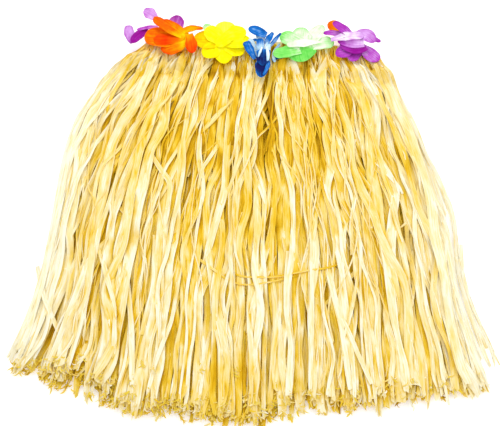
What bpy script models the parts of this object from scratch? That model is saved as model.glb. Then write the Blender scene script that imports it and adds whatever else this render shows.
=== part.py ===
"""A hula grass skirt laid flat: an elastic waistband loop pressed flat, four layers of ribbon grass sewn to
it (two on the front panel, two on the back panel), and ten cloth flowers sewn round the band.

The skirt lies on its back panel. Sizes are millimetres, turned into metres when a mesh is made. While it is
modelled, x = 0 is the middle of the waistband, y = 0 its lower edge there, the grass runs towards -Y, and
z = 0 is the surface that the skirt lies on. The last step moves the whole skirt so that the origin is the
middle of its footprint.
"""

import math
import random

import bmesh
import bpy
from mathutils import Vector

METRES = 0.001
SEAM = 0.3

# Waistband: one elastic tape sewn into a loop, pressed flat.
WAIST_WIDTH = 254.0
BAND_HEIGHT = 16.0
BAND_WALL = 1.5
WAIST_DROP_RIGHT = 12.0
WAIST_RISE_LEFT = 3.0
BAND_STATIONS = 8
FOLD_STEPS = 6

# Grass strips: the narrow header tapes that the grass is fused to, and their place against the band.
STRIP_THICK = 1.4
STRIP_TOP = 2.0
STRIP_LIP = 4.0
FLOWER_ROOM = 5.0

# Heights of what is stacked at the waist, from the surface up.
STRIP_BACK_OUTER_Z = FLOWER_ROOM
BAND_BACK_Z = STRIP_BACK_OUTER_Z + STRIP_THICK + SEAM
STRIP_BACK_INNER_Z = BAND_BACK_Z + BAND_WALL + SEAM
STRIP_FRONT_INNER_Z = STRIP_BACK_INNER_Z + STRIP_THICK + SEAM
BAND_FRONT_Z = STRIP_FRONT_INNER_Z + STRIP_THICK + SEAM
STRIP_FRONT_OUTER_Z = BAND_FRONT_Z + BAND_WALL + SEAM
BAND_TOP_Z = BAND_FRONT_Z + BAND_WALL

# Grass: each strand is a ribbon with a lengthwise crease, so its section is a low triangle.
STRAND_HEIGHT = 1.3
STRAND_WIDTHS = (7.5, 11.0)
LENGTH_SPREAD = 9.0
TIP_SKEW_DEG = 22.0
ROOT_FILL = 0.76
WIDTH_FILL = 0.78
WANDER = 0.1
STRAND_STOPS = (0.0, 12.0, 30.0, 62.0, 110.0, 185.0, 285.0)
FULL_WIDTH_AT = 120.0
INTEGRATION_STEP = 2.0

# The pile: eight tiers of strands one over the other, which come down to the surface below the waist.
TIER_PITCH = 1.75
TIER_LOFT = 0.15
TIER_SWELL = 0.1
WAIST_LIFT = 4.4
SETTLED_AT = 110.0

LAYERS = (
    {"name": "grass_back_outer", "strands": 60, "strip_z": STRIP_BACK_OUTER_Z, "tier": 0, "half": 129.0, "longer": 5.0},
    {"name": "grass_back_inner", "strands": 46, "strip_z": STRIP_BACK_INNER_Z, "tier": 2, "half": 121.0, "longer": 1.0},
    {"name": "grass_front_inner", "strands": 50, "strip_z": STRIP_FRONT_INNER_Z, "tier": 4, "half": 121.0, "longer": 3.0},
    {"name": "grass_front_outer", "strands": 62, "strip_z": STRIP_FRONT_OUTER_Z, "tier": 6, "half": 129.0, "longer": -2.0},
)

# How the grass fans out: for a strand rooted at root_x, its cut length, and its heading in degrees from
# straight down the skirt, positive towards +X, at each distance in FAN_STATIONS along it.
FAN_STATIONS = (0.0, 50.0, 90.0, 140.0, 190.0, 250.0, 300.0, 370.0)
FAN = (
    {"root_x": -129.0, "heading": (-71.0, -42.0, -27.0, -11.0, -4.0, -6.0, -11.0, -21.0)},
    {"root_x": -118.0, "heading": (-42.0, -35.0, -26.0, -14.0, -6.0, -7.0, -12.0, -19.0)},
    {"root_x": -104.0, "heading": (-22.0, -23.0, -21.0, -15.0, -9.0, -8.0, -10.0, -13.0)},
    {"root_x": -67.0, "heading": (-14.0, -16.0, -16.0, -13.0, -9.0, -5.0, -5.0, -6.0)},
    {"root_x": 0.0, "heading": (-3.0, -4.0, -4.0, -3.0, -2.0, -1.0, -1.0, -2.0)},
    {"root_x": 58.0, "heading": (7.0, 8.5, 9.0, 7.0, 5.0, 3.0, 2.0, 1.0)},
    {"root_x": 96.0, "heading": (16.0, 17.0, 15.0, 11.0, 7.0, 6.0, 7.0, 6.0)},
    {"root_x": 129.0, "heading": (34.0, 21.0, 19.0, 17.0, 13.0, 5.0, 9.0, 20.0)},
)
CUT = (
    {"root_x": -127.0, "length": 381.0},
    {"root_x": -86.0, "length": 384.0},
    {"root_x": -74.0, "length": 393.0},
    {"root_x": -56.0, "length": 395.0},
    {"root_x": -40.0, "length": 404.0},
    {"root_x": -12.0, "length": 405.0},
    {"root_x": 4.0, "length": 399.0},
    {"root_x": 22.0, "length": 389.0},
    {"root_x": 44.0, "length": 388.0},
    {"root_x": 55.0, "length": 399.0},
    {"root_x": 66.0, "length": 388.0},
    {"root_x": 90.0, "length": 380.0},
    {"root_x": 108.0, "length": 373.0},
    {"root_x": 127.0, "length": 356.0},
)

# The front layer parts at the middle, which shows the layer under it.
PARTING_X = 2.0
PARTING_PUSH = 5.0
PARTING_REACH = 24.0
PARTING_LONG = 190.0

# Flowers.
PETAL_THICK = 1.1
PETAL_STOPS = (0.0, 0.36, 0.7, 0.92, 1.0)
PETAL_OUTLINE = (0.26, 0.78, 1.0, 0.74, 0.36)
CALYX_SIDES = 8
CALYX_BASE_RADIUS = 4.0
CALYX_TOP_RADIUS = 5.6
CALYX_HEAD = 3.4
PETAL_START = 2.0

# Each petal: azimuth in degrees (0 towards +X, 90 towards the top edge), reach from the flower's middle,
# width, lift above the level in degrees, and cup, the depth of its middle crease as a share of its width.
# The middle is where the petals meet, as x, y and z. The foot is where the calyx stands on the band, as x
# and a distance above the band's lower edge.
FRONT_FLOWERS = (
    {
        "name": "flower_purple_left", "colour": "petal_purple", "middle": (-116.0, 18.0, 17.6), "foot": (-113.0, 9.0),
        "petals": (
            {"azimuth": 178.0, "reach": 33.0, "width": 20.0, "lift": 1.0, "cup": 0.16},
            {"azimuth": 103.0, "reach": 34.0, "width": 15.0, "lift": 9.0, "cup": 0.06},
            {"azimuth": 34.0, "reach": 33.0, "width": 17.0, "lift": 2.0, "cup": 0.08},
            {"azimuth": 236.0, "reach": 20.0, "width": 13.0, "lift": 5.0, "cup": 0.05},
        ),
    },
    {
        "name": "flower_orange_front", "colour": "petal_orange", "middle": (-86.0, 12.0, 27.0), "foot": (-84.0, 9.0),
        "petals": (
            {"azimuth": 193.0, "reach": 40.0, "width": 26.0, "lift": 3.0, "cup": 0.1},
            {"azimuth": 143.0, "reach": 36.0, "width": 15.0, "lift": 16.0, "cup": 0.16},
            {"azimuth": 110.0, "reach": 25.0, "width": 13.0, "lift": 14.0, "cup": 0.1},
            {"azimuth": 40.0, "reach": 23.0, "width": 12.0, "lift": 0.0, "cup": 0.08},
            {"azimuth": 301.0, "reach": 21.0, "width": 15.0, "lift": -12.0, "cup": 0.1},
            {"azimuth": 243.0, "reach": 24.0, "width": 18.0, "lift": -10.0, "cup": 0.08},
        ),
    },
    {
        "name": "flower_yellow_front", "colour": "petal_yellow", "middle": (-44.0, 6.0, 25.0), "foot": (-44.0, 8.0),
        "petals": (
            {"azimuth": 178.0, "reach": 32.0, "width": 20.0, "lift": 15.0, "cup": 0.06},
            {"azimuth": 222.0, "reach": 28.0, "width": 17.0, "lift": -6.0, "cup": 0.06},
            {"azimuth": 272.0, "reach": 24.0, "width": 21.0, "lift": -10.0, "cup": 0.08},
            {"azimuth": 322.0, "reach": 25.0, "width": 17.0, "lift": -8.0, "cup": 0.06},
            {"azimuth": 10.0, "reach": 29.0, "width": 19.0, "lift": -8.0, "cup": 0.06},
            {"azimuth": 55.0, "reach": 27.0, "width": 17.0, "lift": -2.0, "cup": 0.06},
            {"azimuth": 95.0, "reach": 25.0, "width": 18.0, "lift": 6.0, "cup": 0.06},
            {"azimuth": 137.0, "reach": 27.0, "width": 16.0, "lift": 10.0, "cup": 0.06},
        ),
    },
    {
        "name": "flower_blue_front", "colour": "petal_blue", "middle": (1.0, -4.0, 24.5), "foot": (0.0, 8.0),
        "petals": (
            {"azimuth": 117.0, "reach": 29.0, "width": 13.0, "lift": 22.0, "cup": 0.12},
            {"azimuth": 94.0, "reach": 20.0, "width": 9.0, "lift": 40.0, "cup": 0.14},
            {"azimuth": 66.0, "reach": 24.0, "width": 9.0, "lift": 20.0, "cup": 0.14},
            {"azimuth": 44.0, "reach": 28.0, "width": 6.0, "lift": 14.0, "cup": 0.16},
            {"azimuth": 146.0, "reach": 20.0, "width": 12.0, "lift": 10.0, "cup": 0.1},
            {"azimuth": 280.0, "reach": 24.0, "width": 16.0, "lift": -7.0, "cup": 0.14},
            {"azimuth": 248.0, "reach": 21.0, "width": 12.0, "lift": -2.0, "cup": 0.1},
        ),
    },
    {
        "name": "flower_green_front", "colour": "petal_green", "middle": (43.0, 8.0, 23.0), "foot": (43.0, 7.0),
        "petals": (
            {"azimuth": 206.0, "reach": 27.0, "width": 17.0, "lift": -2.0, "cup": 0.08},
            {"azimuth": 274.0, "reach": 25.0, "width": 30.0, "lift": -6.0, "cup": 0.1},
            {"azimuth": 338.0, "reach": 29.0, "width": 16.0, "lift": -5.0, "cup": 0.06},
            {"azimuth": 18.0, "reach": 30.0, "width": 16.0, "lift": -5.0, "cup": 0.06},
            {"azimuth": 62.0, "reach": 22.0, "width": 18.0, "lift": 2.0, "cup": 0.06},
            {"azimuth": 140.0, "reach": 22.0, "width": 20.0, "lift": 2.0, "cup": 0.06},
        ),
    },
    {
        "name": "flower_purple_right", "colour": "petal_purple", "middle": (98.0, 5.0, 27.0), "foot": (99.0, 9.0),
        "petals": (
            {"azimuth": 133.0, "reach": 32.0, "width": 16.0, "lift": 18.0, "cup": 0.16},
            {"azimuth": 174.0, "reach": 31.0, "width": 9.0, "lift": 10.0, "cup": 0.1},
            {"azimuth": 236.0, "reach": 20.0, "width": 17.0, "lift": -10.0, "cup": 0.14},
            {"azimuth": 272.0, "reach": 19.0, "width": 15.0, "lift": -12.0, "cup": 0.14},
            {"azimuth": 317.0, "reach": 30.0, "width": 18.0, "lift": -8.0, "cup": 0.06},
            {"azimuth": 10.0, "reach": 28.0, "width": 14.0, "lift": 2.0, "cup": 0.12},
            {"azimuth": 60.0, "reach": 16.0, "width": 14.0, "lift": 12.0, "cup": 0.08},
        ),
    },
)

# The back panel's flowers are pressed flat between the band and the surface. Neighbours overlap, so every
# other one lies a step higher.
BACK_PETALS = 5
BACK_STEP = 1.6
BACK_OUTLINE_POINTS = 45
BACK_NOTCH = 0.42
BACK_FLOWERS = (
    {"name": "flower_green_back", "colour": "petal_green", "x": -57.0, "reach": 29.0, "turn": 90.0, "step": 0},
    {"name": "flower_blue_back", "colour": "petal_blue", "x": -11.0, "reach": 24.0, "turn": 54.0, "step": 1},
    {"name": "flower_yellow_back", "colour": "petal_yellow", "x": 34.0, "reach": 24.0, "turn": 54.0, "step": 0},
    {"name": "flower_orange_back", "colour": "petal_orange", "x": 80.0, "reach": 31.0, "turn": 90.0, "step": 1},
)

FINISHES = {
    "grass": {"colour": (0.86, 0.68, 0.33), "roughness": 0.55},
    "elastic": {"colour": (0.88, 0.85, 0.76), "roughness": 0.8},
    "petal_purple": {"colour": (0.55, 0.12, 0.78), "roughness": 0.7},
    "petal_orange": {"colour": (1.0, 0.27, 0.01), "roughness": 0.7},
    "petal_yellow": {"colour": (1.0, 0.9, 0.0), "roughness": 0.7},
    "petal_blue": {"colour": (0.02, 0.18, 0.62), "roughness": 0.7},
    "petal_green": {"colour": (0.35, 0.85, 0.4), "roughness": 0.7},
}


def smooth(share):
    """An S-curve from 0 to 1."""
    share = min(1.0, max(0.0, share))
    return share * share * (3.0 - 2.0 * share)


def between(low, high, share):
    return low + (high - low) * share


def at(stations, values, place):
    """The value at a place on a line of stations, straight between them."""
    if place <= stations[0]:
        return values[0]
    for i in range(1, len(stations)):
        if place <= stations[i]:
            share = (place - stations[i - 1]) / (stations[i] - stations[i - 1])
            return between(values[i - 1], values[i], share)
    return values[-1]


def waist_line(x):
    """y of the waistband's lower edge. The band rises a little to its left end and drops to its right."""
    share = 2 * x / WAIST_WIDTH
    return -WAIST_DROP_RIGHT * max(0.0, share) ** 2 + WAIST_RISE_LEFT * min(0.0, share) ** 2


def finish(name):
    """The plain material of one finish, made once."""
    made = bpy.data.materials.get(name)
    if made is None:
        made = bpy.data.materials.new(name)
        made.use_nodes = True
        shader = made.node_tree.nodes["Principled BSDF"]
        shader.inputs["Base Color"].default_value = (*FINISHES[name]["colour"], 1.0)
        shader.inputs["Roughness"].default_value = FINISHES[name]["roughness"]
        shader.inputs["Metallic"].default_value = 0.0
    return made


def solid(name, points, faces, material):
    """An object from points in millimetres, with its faces turned outwards."""
    mesh = bpy.data.meshes.new(name)
    mesh.from_pydata([tuple(c * METRES for c in p) for p in points], [], faces)
    shaped = bmesh.new()
    shaped.from_mesh(mesh)
    bmesh.ops.recalc_face_normals(shaped, faces=shaped.faces)
    shaped.to_mesh(mesh)
    shaped.free()
    mesh.materials.append(finish(material))
    made = bpy.data.objects.new(name, mesh)
    bpy.context.scene.collection.objects.link(made)
    return made


def band_loop(outset):
    """The band's closed line seen from above, as (x, z) points, outset from its middle line."""
    middle_z = (BAND_BACK_Z + BAND_TOP_Z) / 2
    radius = (BAND_TOP_Z - BAND_BACK_Z - BAND_WALL) / 2 + outset
    straight = WAIST_WIDTH / 2 - (BAND_TOP_Z - BAND_BACK_Z) / 2
    line = []
    for i in range(BAND_STATIONS):
        line.append((between(-straight, straight, i / BAND_STATIONS), middle_z - radius))
    for i in range(FOLD_STEPS):
        turn = math.pi * (i / FOLD_STEPS - 0.5)
        line.append((straight + radius * math.cos(turn), middle_z + radius * math.sin(turn)))
    for i in range(BAND_STATIONS):
        line.append((between(straight, -straight, i / BAND_STATIONS), middle_z + radius))
    for i in range(FOLD_STEPS):
        turn = math.pi * (i / FOLD_STEPS + 0.5)
        line.append((-straight + radius * math.cos(turn), middle_z + radius * math.sin(turn)))
    return line


def build_waistband():
    """The elastic tape: a loop pressed flat, its two walls joined by a tight fold at each side."""
    loops = {"outer": band_loop(BAND_WALL / 2), "inner": band_loop(-BAND_WALL / 2)}
    points = []
    start = {}
    for side, line in loops.items():
        for height in (0.0, BAND_HEIGHT):
            start[side, height] = len(points)
            points += [(x, waist_line(x) + height, z) for x, z in line]
    count = len(loops["outer"])
    faces = []
    for i in range(count):
        j = (i + 1) % count
        for first, second in (
            (("outer", 0.0), ("outer", BAND_HEIGHT)),
            (("inner", 0.0), ("inner", BAND_HEIGHT)),
            (("outer", 0.0), ("inner", 0.0)),
            (("outer", BAND_HEIGHT), ("inner", BAND_HEIGHT)),
        ):
            a, b = start[first], start[second]
            faces.append((a + i, a + j, b + j, b + i))
    return solid("waistband", points, faces, "elastic")


def heading(root_x, along):
    """Degrees from straight down for a strand rooted at root_x, at a distance along it."""
    roots = [row["root_x"] for row in FAN]
    here = [at(FAN_STATIONS, row["heading"], along) for row in FAN]
    return at(roots, here, root_x)


def parting(root_x, along):
    """How far sideways the front layer is pushed away from its parting."""
    from_middle = root_x - PARTING_X
    near = math.exp(-abs(from_middle) / PARTING_REACH)
    swell = math.sin(math.pi * min(1.0, along / PARTING_LONG)) ** 2
    return math.copysign(PARTING_PUSH * near * swell, from_middle)


def strand_line(root_x, stops, parts):
    """(x, y) points of a strand's middle line at each stop, walked from its root along its heading."""
    x, y = root_x, waist_line(root_x) - STRIP_LIP
    walked = 0.0
    line = []
    for stop in stops:
        while walked < stop - 1e-6:
            step = min(INTEGRATION_STEP, stop - walked)
            turn = math.radians(heading(root_x, walked + step / 2))
            x += step * math.sin(turn)
            y -= step * math.cos(turn)
            walked += step
        line.append((x + (parting(root_x, stop) if parts else 0.0), y))
    return line


def tier_z(tier, along, x, y):
    """Height of the underside of a tier of strands. All tiers come down together, and never meet."""
    lift = WAIST_LIFT * (1.0 - smooth(along / SETTLED_AT))
    swell = TIER_LOFT + TIER_SWELL * math.sin(x / 45.0 + 1.0) * math.cos(y / 60.0)
    return lift + tier * (TIER_PITCH + smooth(along / SETTLED_AT) * swell)


def across(line, i):
    """The unit direction to the right of a strand at its stop i, seen from above."""
    before, after = line[max(0, i - 1)], line[min(len(line) - 1, i + 1)]
    way = Vector((after[0] - before[0], after[1] - before[1])).normalized()
    return Vector((-way.y, way.x))


def room_beside(lines, i, stop):
    """Distance from a strand to the nearer strand of its own tier, square to its run."""
    side = across(lines[i], stop)
    rooms = []
    for other in (i - 2, i + 2):
        if 0 <= other < len(lines):
            apart = Vector(lines[other][stop]) - Vector(lines[i][stop])
            rooms.append(abs(apart.dot(side)))
    return min(rooms)


def strand_lengths(layer, roots, chance):
    """Cut length of each strand of a layer: the skirt's own hem line, with uneven ends."""
    places = [row["root_x"] for row in CUT]
    cuts = [row["length"] for row in CUT]
    return [
        at(places, cuts, root) + layer["longer"] + chance.uniform(-LENGTH_SPREAD, LENGTH_SPREAD)
        for root in roots
    ]


def build_grass(layer):
    """One layer of grass: a header strip and the strands that run on from its lower edge, one closed body."""
    chance = random.Random(layer["name"])
    count, half = layer["strands"], layer["half"]
    pitch = 2 * half / count
    roots = [-half + (i + 0.5) * pitch for i in range(count)]
    parts = layer["name"] == "grass_front_outer"
    lengths = strand_lengths(layer, roots, chance)
    lines = [
        strand_line(root, (*STRAND_STOPS, length), parts)
        for root, length in zip(roots, lengths)
    ]
    low, high = layer["strip_z"], layer["strip_z"] + STRIP_THICK
    points, faces = [], []

    def add(x, y, z):
        points.append((x, y, z))
        return len(points) - 1

    lower = [add(-half, waist_line(-half) - STRIP_LIP, low)]
    crest = [add(-half, waist_line(-half) - STRIP_LIP, high)]
    for i, root in enumerate(roots):
        left, right = root - ROOT_FILL * pitch / 2, root + ROOT_FILL * pitch / 2
        ring = [
            add(left, waist_line(left) - STRIP_LIP, low),
            add(right, waist_line(right) - STRIP_LIP, low),
            add(root, waist_line(root) - STRIP_LIP, high),
        ]
        faces.append((crest[-1], lower[-1], ring[0], ring[2]))
        lower += ring[:2]
        crest.append(ring[2])
        full_width = chance.uniform(*STRAND_WIDTHS)
        wander = chance.uniform(-1.0, 1.0)
        wave = chance.uniform(120.0, 260.0)
        phase = chance.uniform(0.0, 2 * math.pi)
        skew = math.radians(chance.uniform(-TIP_SKEW_DEG, TIP_SKEW_DEG))
        stops = (*STRAND_STOPS, lengths[i])
        for stop in range(1, len(stops)):
            along = stops[stop]
            side = across(lines[i], stop)
            room = room_beside(lines, i, stop)
            width = between(ROOT_FILL * pitch, full_width, smooth(along / FULL_WIDTH_AT))
            width = min(width, WIDTH_FILL * room)
            drift = wander * WANDER * room * smooth(along / FULL_WIDTH_AT)
            drift *= math.sin(2 * math.pi * along / wave + phase)
            middle = Vector(lines[i][stop]) + side * drift
            if stop == len(stops) - 1:
                side = Vector((side.x * math.cos(skew) - side.y * math.sin(skew),
                               side.x * math.sin(skew) + side.y * math.cos(skew)))
            z = tier_z(layer["tier"] + i % 2, along, middle.x, middle.y)
            left_edge, right_edge = middle - side * width / 2, middle + side * width / 2
            new = [
                add(left_edge.x, left_edge.y, z),
                add(right_edge.x, right_edge.y, z),
                add(middle.x, middle.y, z + STRAND_HEIGHT),
            ]
            faces += [(ring[a], ring[b], new[b], new[a]) for a, b in ((0, 1), (1, 2), (2, 0))]
            ring = new
        faces.append(tuple(ring))
    lower.append(add(half, waist_line(half) - STRIP_LIP, low))
    crest.append(add(half, waist_line(half) - STRIP_LIP, high))
    faces.append((crest[-2], lower[-2], lower[-1], crest[-1]))

    top_low, top_high = [], []
    for i in range(BAND_STATIONS + 1):
        x = between(-half, half, i / BAND_STATIONS)
        top_low.append(add(x, waist_line(x) + STRIP_TOP, low))
        top_high.append(add(x, waist_line(x) + STRIP_TOP, high))
    faces.append((*lower, *reversed(top_low)))
    faces.append((*crest, *reversed(top_high)))
    faces += [
        (top_low[i], top_low[i + 1], top_high[i + 1], top_high[i]) for i in range(BAND_STATIONS)
    ]
    faces.append((lower[0], crest[0], top_high[0], top_low[0]))
    faces.append((lower[-1], crest[-1], top_high[-1], top_low[-1]))
    return solid(layer["name"], points, faces, "grass")


def petal_rings(middle, azimuth, reach, width, lift, cup):
    """Rings of six points along a petal: its left edge, crease and right edge, above and below."""
    turn, rise = math.radians(azimuth), math.radians(lift)
    out = Vector((math.cos(turn) * math.cos(rise), math.sin(turn) * math.cos(rise), math.sin(rise)))
    side = Vector((-math.sin(turn), math.cos(turn), 0.0))
    face = out.cross(side)
    rings = []
    for share, breadth in zip(PETAL_STOPS, PETAL_OUTLINE):
        centre = Vector(middle) + out * between(PETAL_START, reach, share)
        half = side * (width * breadth / 2)
        crease = face * (-cup * width * breadth)
        thick = face * (PETAL_THICK / 2)
        rings.append([
            centre - half - thick, centre + crease - thick, centre + half - thick,
            centre + half + thick, centre + crease + thick, centre - half + thick,
        ])
    return rings


def lofted(name, rings, material):
    """A closed solid through rings of equal length, with its two ends filled."""
    count = len(rings[0])
    points = [tuple(p) for ring in rings for p in ring]
    faces = []
    for r in range(len(rings) - 1):
        for i in range(count):
            j = (i + 1) % count
            faces.append((r * count + i, r * count + j, (r + 1) * count + j, (r + 1) * count + i))
    faces.append(tuple(range(count)))
    faces.append(tuple((len(rings) - 1) * count + i for i in range(count)))
    return solid(name, points, faces, material)


def calyx_ring(centre, radius):
    """A level ring of points round the calyx."""
    ring = []
    for i in range(CALYX_SIDES):
        turn = 2 * math.pi * (i + 0.5) / CALYX_SIDES
        ring.append((centre[0] + radius * math.cos(turn), centre[1] + radius * math.sin(turn), centre[2]))
    return ring


def fuse(body, pieces):
    """Joins pieces into body with Boolean unions, applied, and removes them."""
    for piece in pieces:
        join = body.modifiers.new("union", "BOOLEAN")
        join.operation = "UNION"
        join.solver = "EXACT"
        join.object = piece
        bpy.context.view_layer.update()
        whole = bpy.data.meshes.new_from_object(body.evaluated_get(bpy.context.evaluated_depsgraph_get()))
        body.modifiers.clear()
        body.data = whole
        whole.name = body.name
        bpy.data.objects.remove(piece)
    return body


def build_front_flower(flower):
    """A flower on the front of the band: petals round a calyx that stands on the tape."""
    x, y, z = flower["middle"]
    foot_x, foot_lift = flower["foot"]
    foot = (foot_x, waist_line(foot_x) + foot_lift, BAND_TOP_Z + SEAM)
    neck = (x, y, z - CALYX_HEAD / 2)
    head = (x, y, z + CALYX_HEAD / 2)
    rings = [
        calyx_ring(foot, CALYX_BASE_RADIUS),
        calyx_ring(neck, CALYX_TOP_RADIUS),
        calyx_ring(head, CALYX_TOP_RADIUS * 0.8),
    ]
    body = lofted(flower["name"], rings, flower["colour"])
    petals = [
        lofted(f"petal_{i}", petal_rings((x, y, z), **row), flower["colour"])
        for i, row in enumerate(flower["petals"])
    ]
    return fuse(body, petals)


def round_ring(flower, radius, z):
    """A round ring of a back flower, with as many points as its outline."""
    x, y = flower["x"], waist_line(flower["x"]) + BAND_HEIGHT / 2
    turns = [2 * math.pi * i / BACK_OUTLINE_POINTS for i in range(BACK_OUTLINE_POINTS)]
    return [(x + radius * math.cos(turn), y + radius * math.sin(turn), z) for turn in turns]


def lobed_ring(flower, z):
    """The outline of a back flower: one round lobe a petal, with a notch between neighbours."""
    x, y = flower["x"], waist_line(flower["x"]) + BAND_HEIGHT / 2
    ring = []
    for i in range(BACK_OUTLINE_POINTS):
        turn = 2 * math.pi * i / BACK_OUTLINE_POINTS
        lobe = abs(math.cos(BACK_PETALS / 2 * (turn - math.radians(flower["turn"])))) ** 0.6
        radius = flower["reach"] * (1.0 - BACK_NOTCH + BACK_NOTCH * lobe)
        ring.append((x + radius * math.cos(turn), y + radius * math.sin(turn), z))
    return ring


def build_back_flower(flower):
    """A flower of the back panel, pressed flat under the band: level petals and a low calyx."""
    low = flower["step"] * BACK_STEP
    rings = []
    if flower["step"]:
        rings += [round_ring(flower, CALYX_TOP_RADIUS, 0.0), round_ring(flower, CALYX_TOP_RADIUS, low)]
    rings += [lobed_ring(flower, low), lobed_ring(flower, low + PETAL_THICK)]
    rings.append(round_ring(flower, CALYX_BASE_RADIUS, low + PETAL_THICK))
    rings.append(round_ring(flower, CALYX_BASE_RADIUS, BAND_BACK_Z - SEAM))
    return lofted(flower["name"], rings, flower["colour"])


def footprint_to_origin(objects):
    """Moves the whole skirt so that the middle of its box, at the surface, is the origin."""
    corners = [v.co for o in objects for v in o.data.vertices]
    low = [min(c[k] for c in corners) for k in range(3)]
    high = [max(c[k] for c in corners) for k in range(3)]
    shift = Vector((-(low[0] + high[0]) / 2, -(low[1] + high[1]) / 2, -low[2]))
    for o in objects:
        for v in o.data.vertices:
            v.co += shift


def main():
    for old in list(bpy.data.objects):
        bpy.data.objects.remove(old)
    made = [build_waistband()]
    made += [build_grass(layer) for layer in LAYERS]
    made += [build_front_flower(flower) for flower in FRONT_FLOWERS]
    made += [build_back_flower(flower) for flower in BACK_FLOWERS]
    footprint_to_origin(made)


main()
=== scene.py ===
# %% [markdown]
# A hula grass skirt lies flat on a pale surface, seen from above its hem. On the real one hundreds of thin
# straw-coloured ribbons are sewn to an elastic tape in layers, two on the front panel and two on the back,
# and cloth flowers are sewn round the tape. This lesson dresses the plain model of it, piece by piece.

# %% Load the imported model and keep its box
import math

import bpy
import numpy as np
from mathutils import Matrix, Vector


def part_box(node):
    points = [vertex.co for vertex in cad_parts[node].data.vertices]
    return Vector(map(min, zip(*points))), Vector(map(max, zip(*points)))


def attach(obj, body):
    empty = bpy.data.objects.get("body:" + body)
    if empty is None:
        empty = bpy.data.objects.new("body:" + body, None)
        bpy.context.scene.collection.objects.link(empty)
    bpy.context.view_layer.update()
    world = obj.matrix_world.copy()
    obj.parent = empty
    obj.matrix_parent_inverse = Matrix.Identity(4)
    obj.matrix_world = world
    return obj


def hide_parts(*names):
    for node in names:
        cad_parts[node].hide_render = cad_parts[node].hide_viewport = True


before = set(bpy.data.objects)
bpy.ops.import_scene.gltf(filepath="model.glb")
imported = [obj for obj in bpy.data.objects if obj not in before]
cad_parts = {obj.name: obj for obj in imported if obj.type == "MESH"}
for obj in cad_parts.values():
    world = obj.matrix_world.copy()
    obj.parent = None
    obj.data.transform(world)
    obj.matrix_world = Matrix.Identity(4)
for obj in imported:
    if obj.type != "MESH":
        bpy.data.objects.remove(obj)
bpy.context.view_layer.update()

# %% [markdown]
# Everything below is worked out in millimetres from the middle of the waistband's lower edge, as a maker
# measures a skirt: x across, y up towards the waist, z up from the surface. The waistband node of the
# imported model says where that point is.

# %% Find the waist
MM = 0.001
WAIST_WIDTH = 254.0
BAND_HEIGHT = 16.0
BAND_WALL = 1.5
WAIST_DROP_RIGHT = 12.0
WAIST_RISE_LEFT = 3.0

band_low, band_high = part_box("waistband")
WAIST = np.array([
    (band_low[0] + band_high[0]) / 2 / MM,
    band_high[1] / MM - BAND_HEIGHT - WAIST_RISE_LEFT,
    0.0,
])
print("middle of the waist, mm", WAIST.round(2))


def waist_line(x):
    """y of the waistband's lower edge. The band rises a little to its left end and drops to its right."""
    share = 2 * np.asarray(x, dtype=float) / WAIST_WIDTH
    return -WAIST_DROP_RIGHT * np.maximum(0.0, share) ** 2 + WAIST_RISE_LEFT * np.minimum(0.0, share) ** 2


def smooth(share):
    """An S-curve from 0 to 1, on a number or an array."""
    share = np.clip(share, 0.0, 1.0)
    return share * share * (3.0 - 2.0 * share)


# %% [markdown]
# The photograph was taken from nearly overhead, tilted from the hem side, with a long lens. The camera here
# looks at the middle of the grass from that angle. Colours are shown as they are lit, without a film curve,
# because the photograph's whites are clean.

# %% Camera
CAMERA_ELEVATION = 66.0
CAMERA_DISTANCE = 1500.0
CAMERA_AIM = (-12.5, -187.0, 8.0)
SENSOR_WIDTH = 36.0
LENS = 104.0

rise = math.radians(CAMERA_ELEVATION)
back = Vector((0.0, -math.cos(rise), math.sin(rise)))
aim = Vector(WAIST) + Vector(CAMERA_AIM)
camera_data = bpy.data.cameras.new("photo_camera")
camera_data.sensor_width = SENSOR_WIDTH
camera_data.lens = LENS
camera_data.clip_end = 20.0
camera = bpy.data.objects.new("photo_camera", camera_data)
bpy.context.scene.collection.objects.link(camera)
camera.location = (aim + back * CAMERA_DISTANCE) * MM
camera.rotation_mode = "QUATERNION"
camera.rotation_quaternion = (-back).to_track_quat("-Z", "Y")
bpy.context.scene.camera = camera
bpy.context.scene.view_settings.view_transform = "Standard"
print("camera at", [round(c, 3) for c in camera.location])

# %% [markdown]
# Some forms below were read off the photograph, as places across and down its 500 by 426 frame. The camera's
# own geometry turns such a place into a point on the skirt, once its height above the surface is given.

# %% From the frame to the skirt
FRAME_WIDTH = 500.0
FRAME_HEIGHT = 426.0
view_right = Vector((1.0, 0.0, 0.0))
view_up = back.cross(view_right)
pixels_long = FRAME_WIDTH * LENS / SENSOR_WIDTH


def on_skirt(across, down, height):
    """The point at this height, in millimetres from the waist, seen at a place in the frame."""
    ray = -back + view_right * ((across - FRAME_WIDTH / 2) / pixels_long)
    ray = ray + view_up * ((FRAME_HEIGHT / 2 - down) / pixels_long)
    eye = Vector(CAMERA_AIM) + back * CAMERA_DISTANCE
    point = eye + ray * ((height - eye.z) / ray.z)
    return point.x, point.y


print("frame middle on the surface, mm", [round(c, 1) for c in on_skirt(250.0, 213.0, 0.0)])

# %% [markdown]
# The light is a bright, soft studio: a white surround that fills every gap, and one large panel beyond the
# waist, which is why the hem throws a soft shadow towards the viewer.

# %% Lights and floor
SURROUND = 0.93
PANELS = (
    {"name": "key_panel", "place": (-350.0, 650.0, 900.0), "size": 500.0, "watts": 4.5},
    {"name": "side_panel", "place": (900.0, -200.0, 800.0), "size": 700.0, "watts": 2.0},
)

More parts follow.
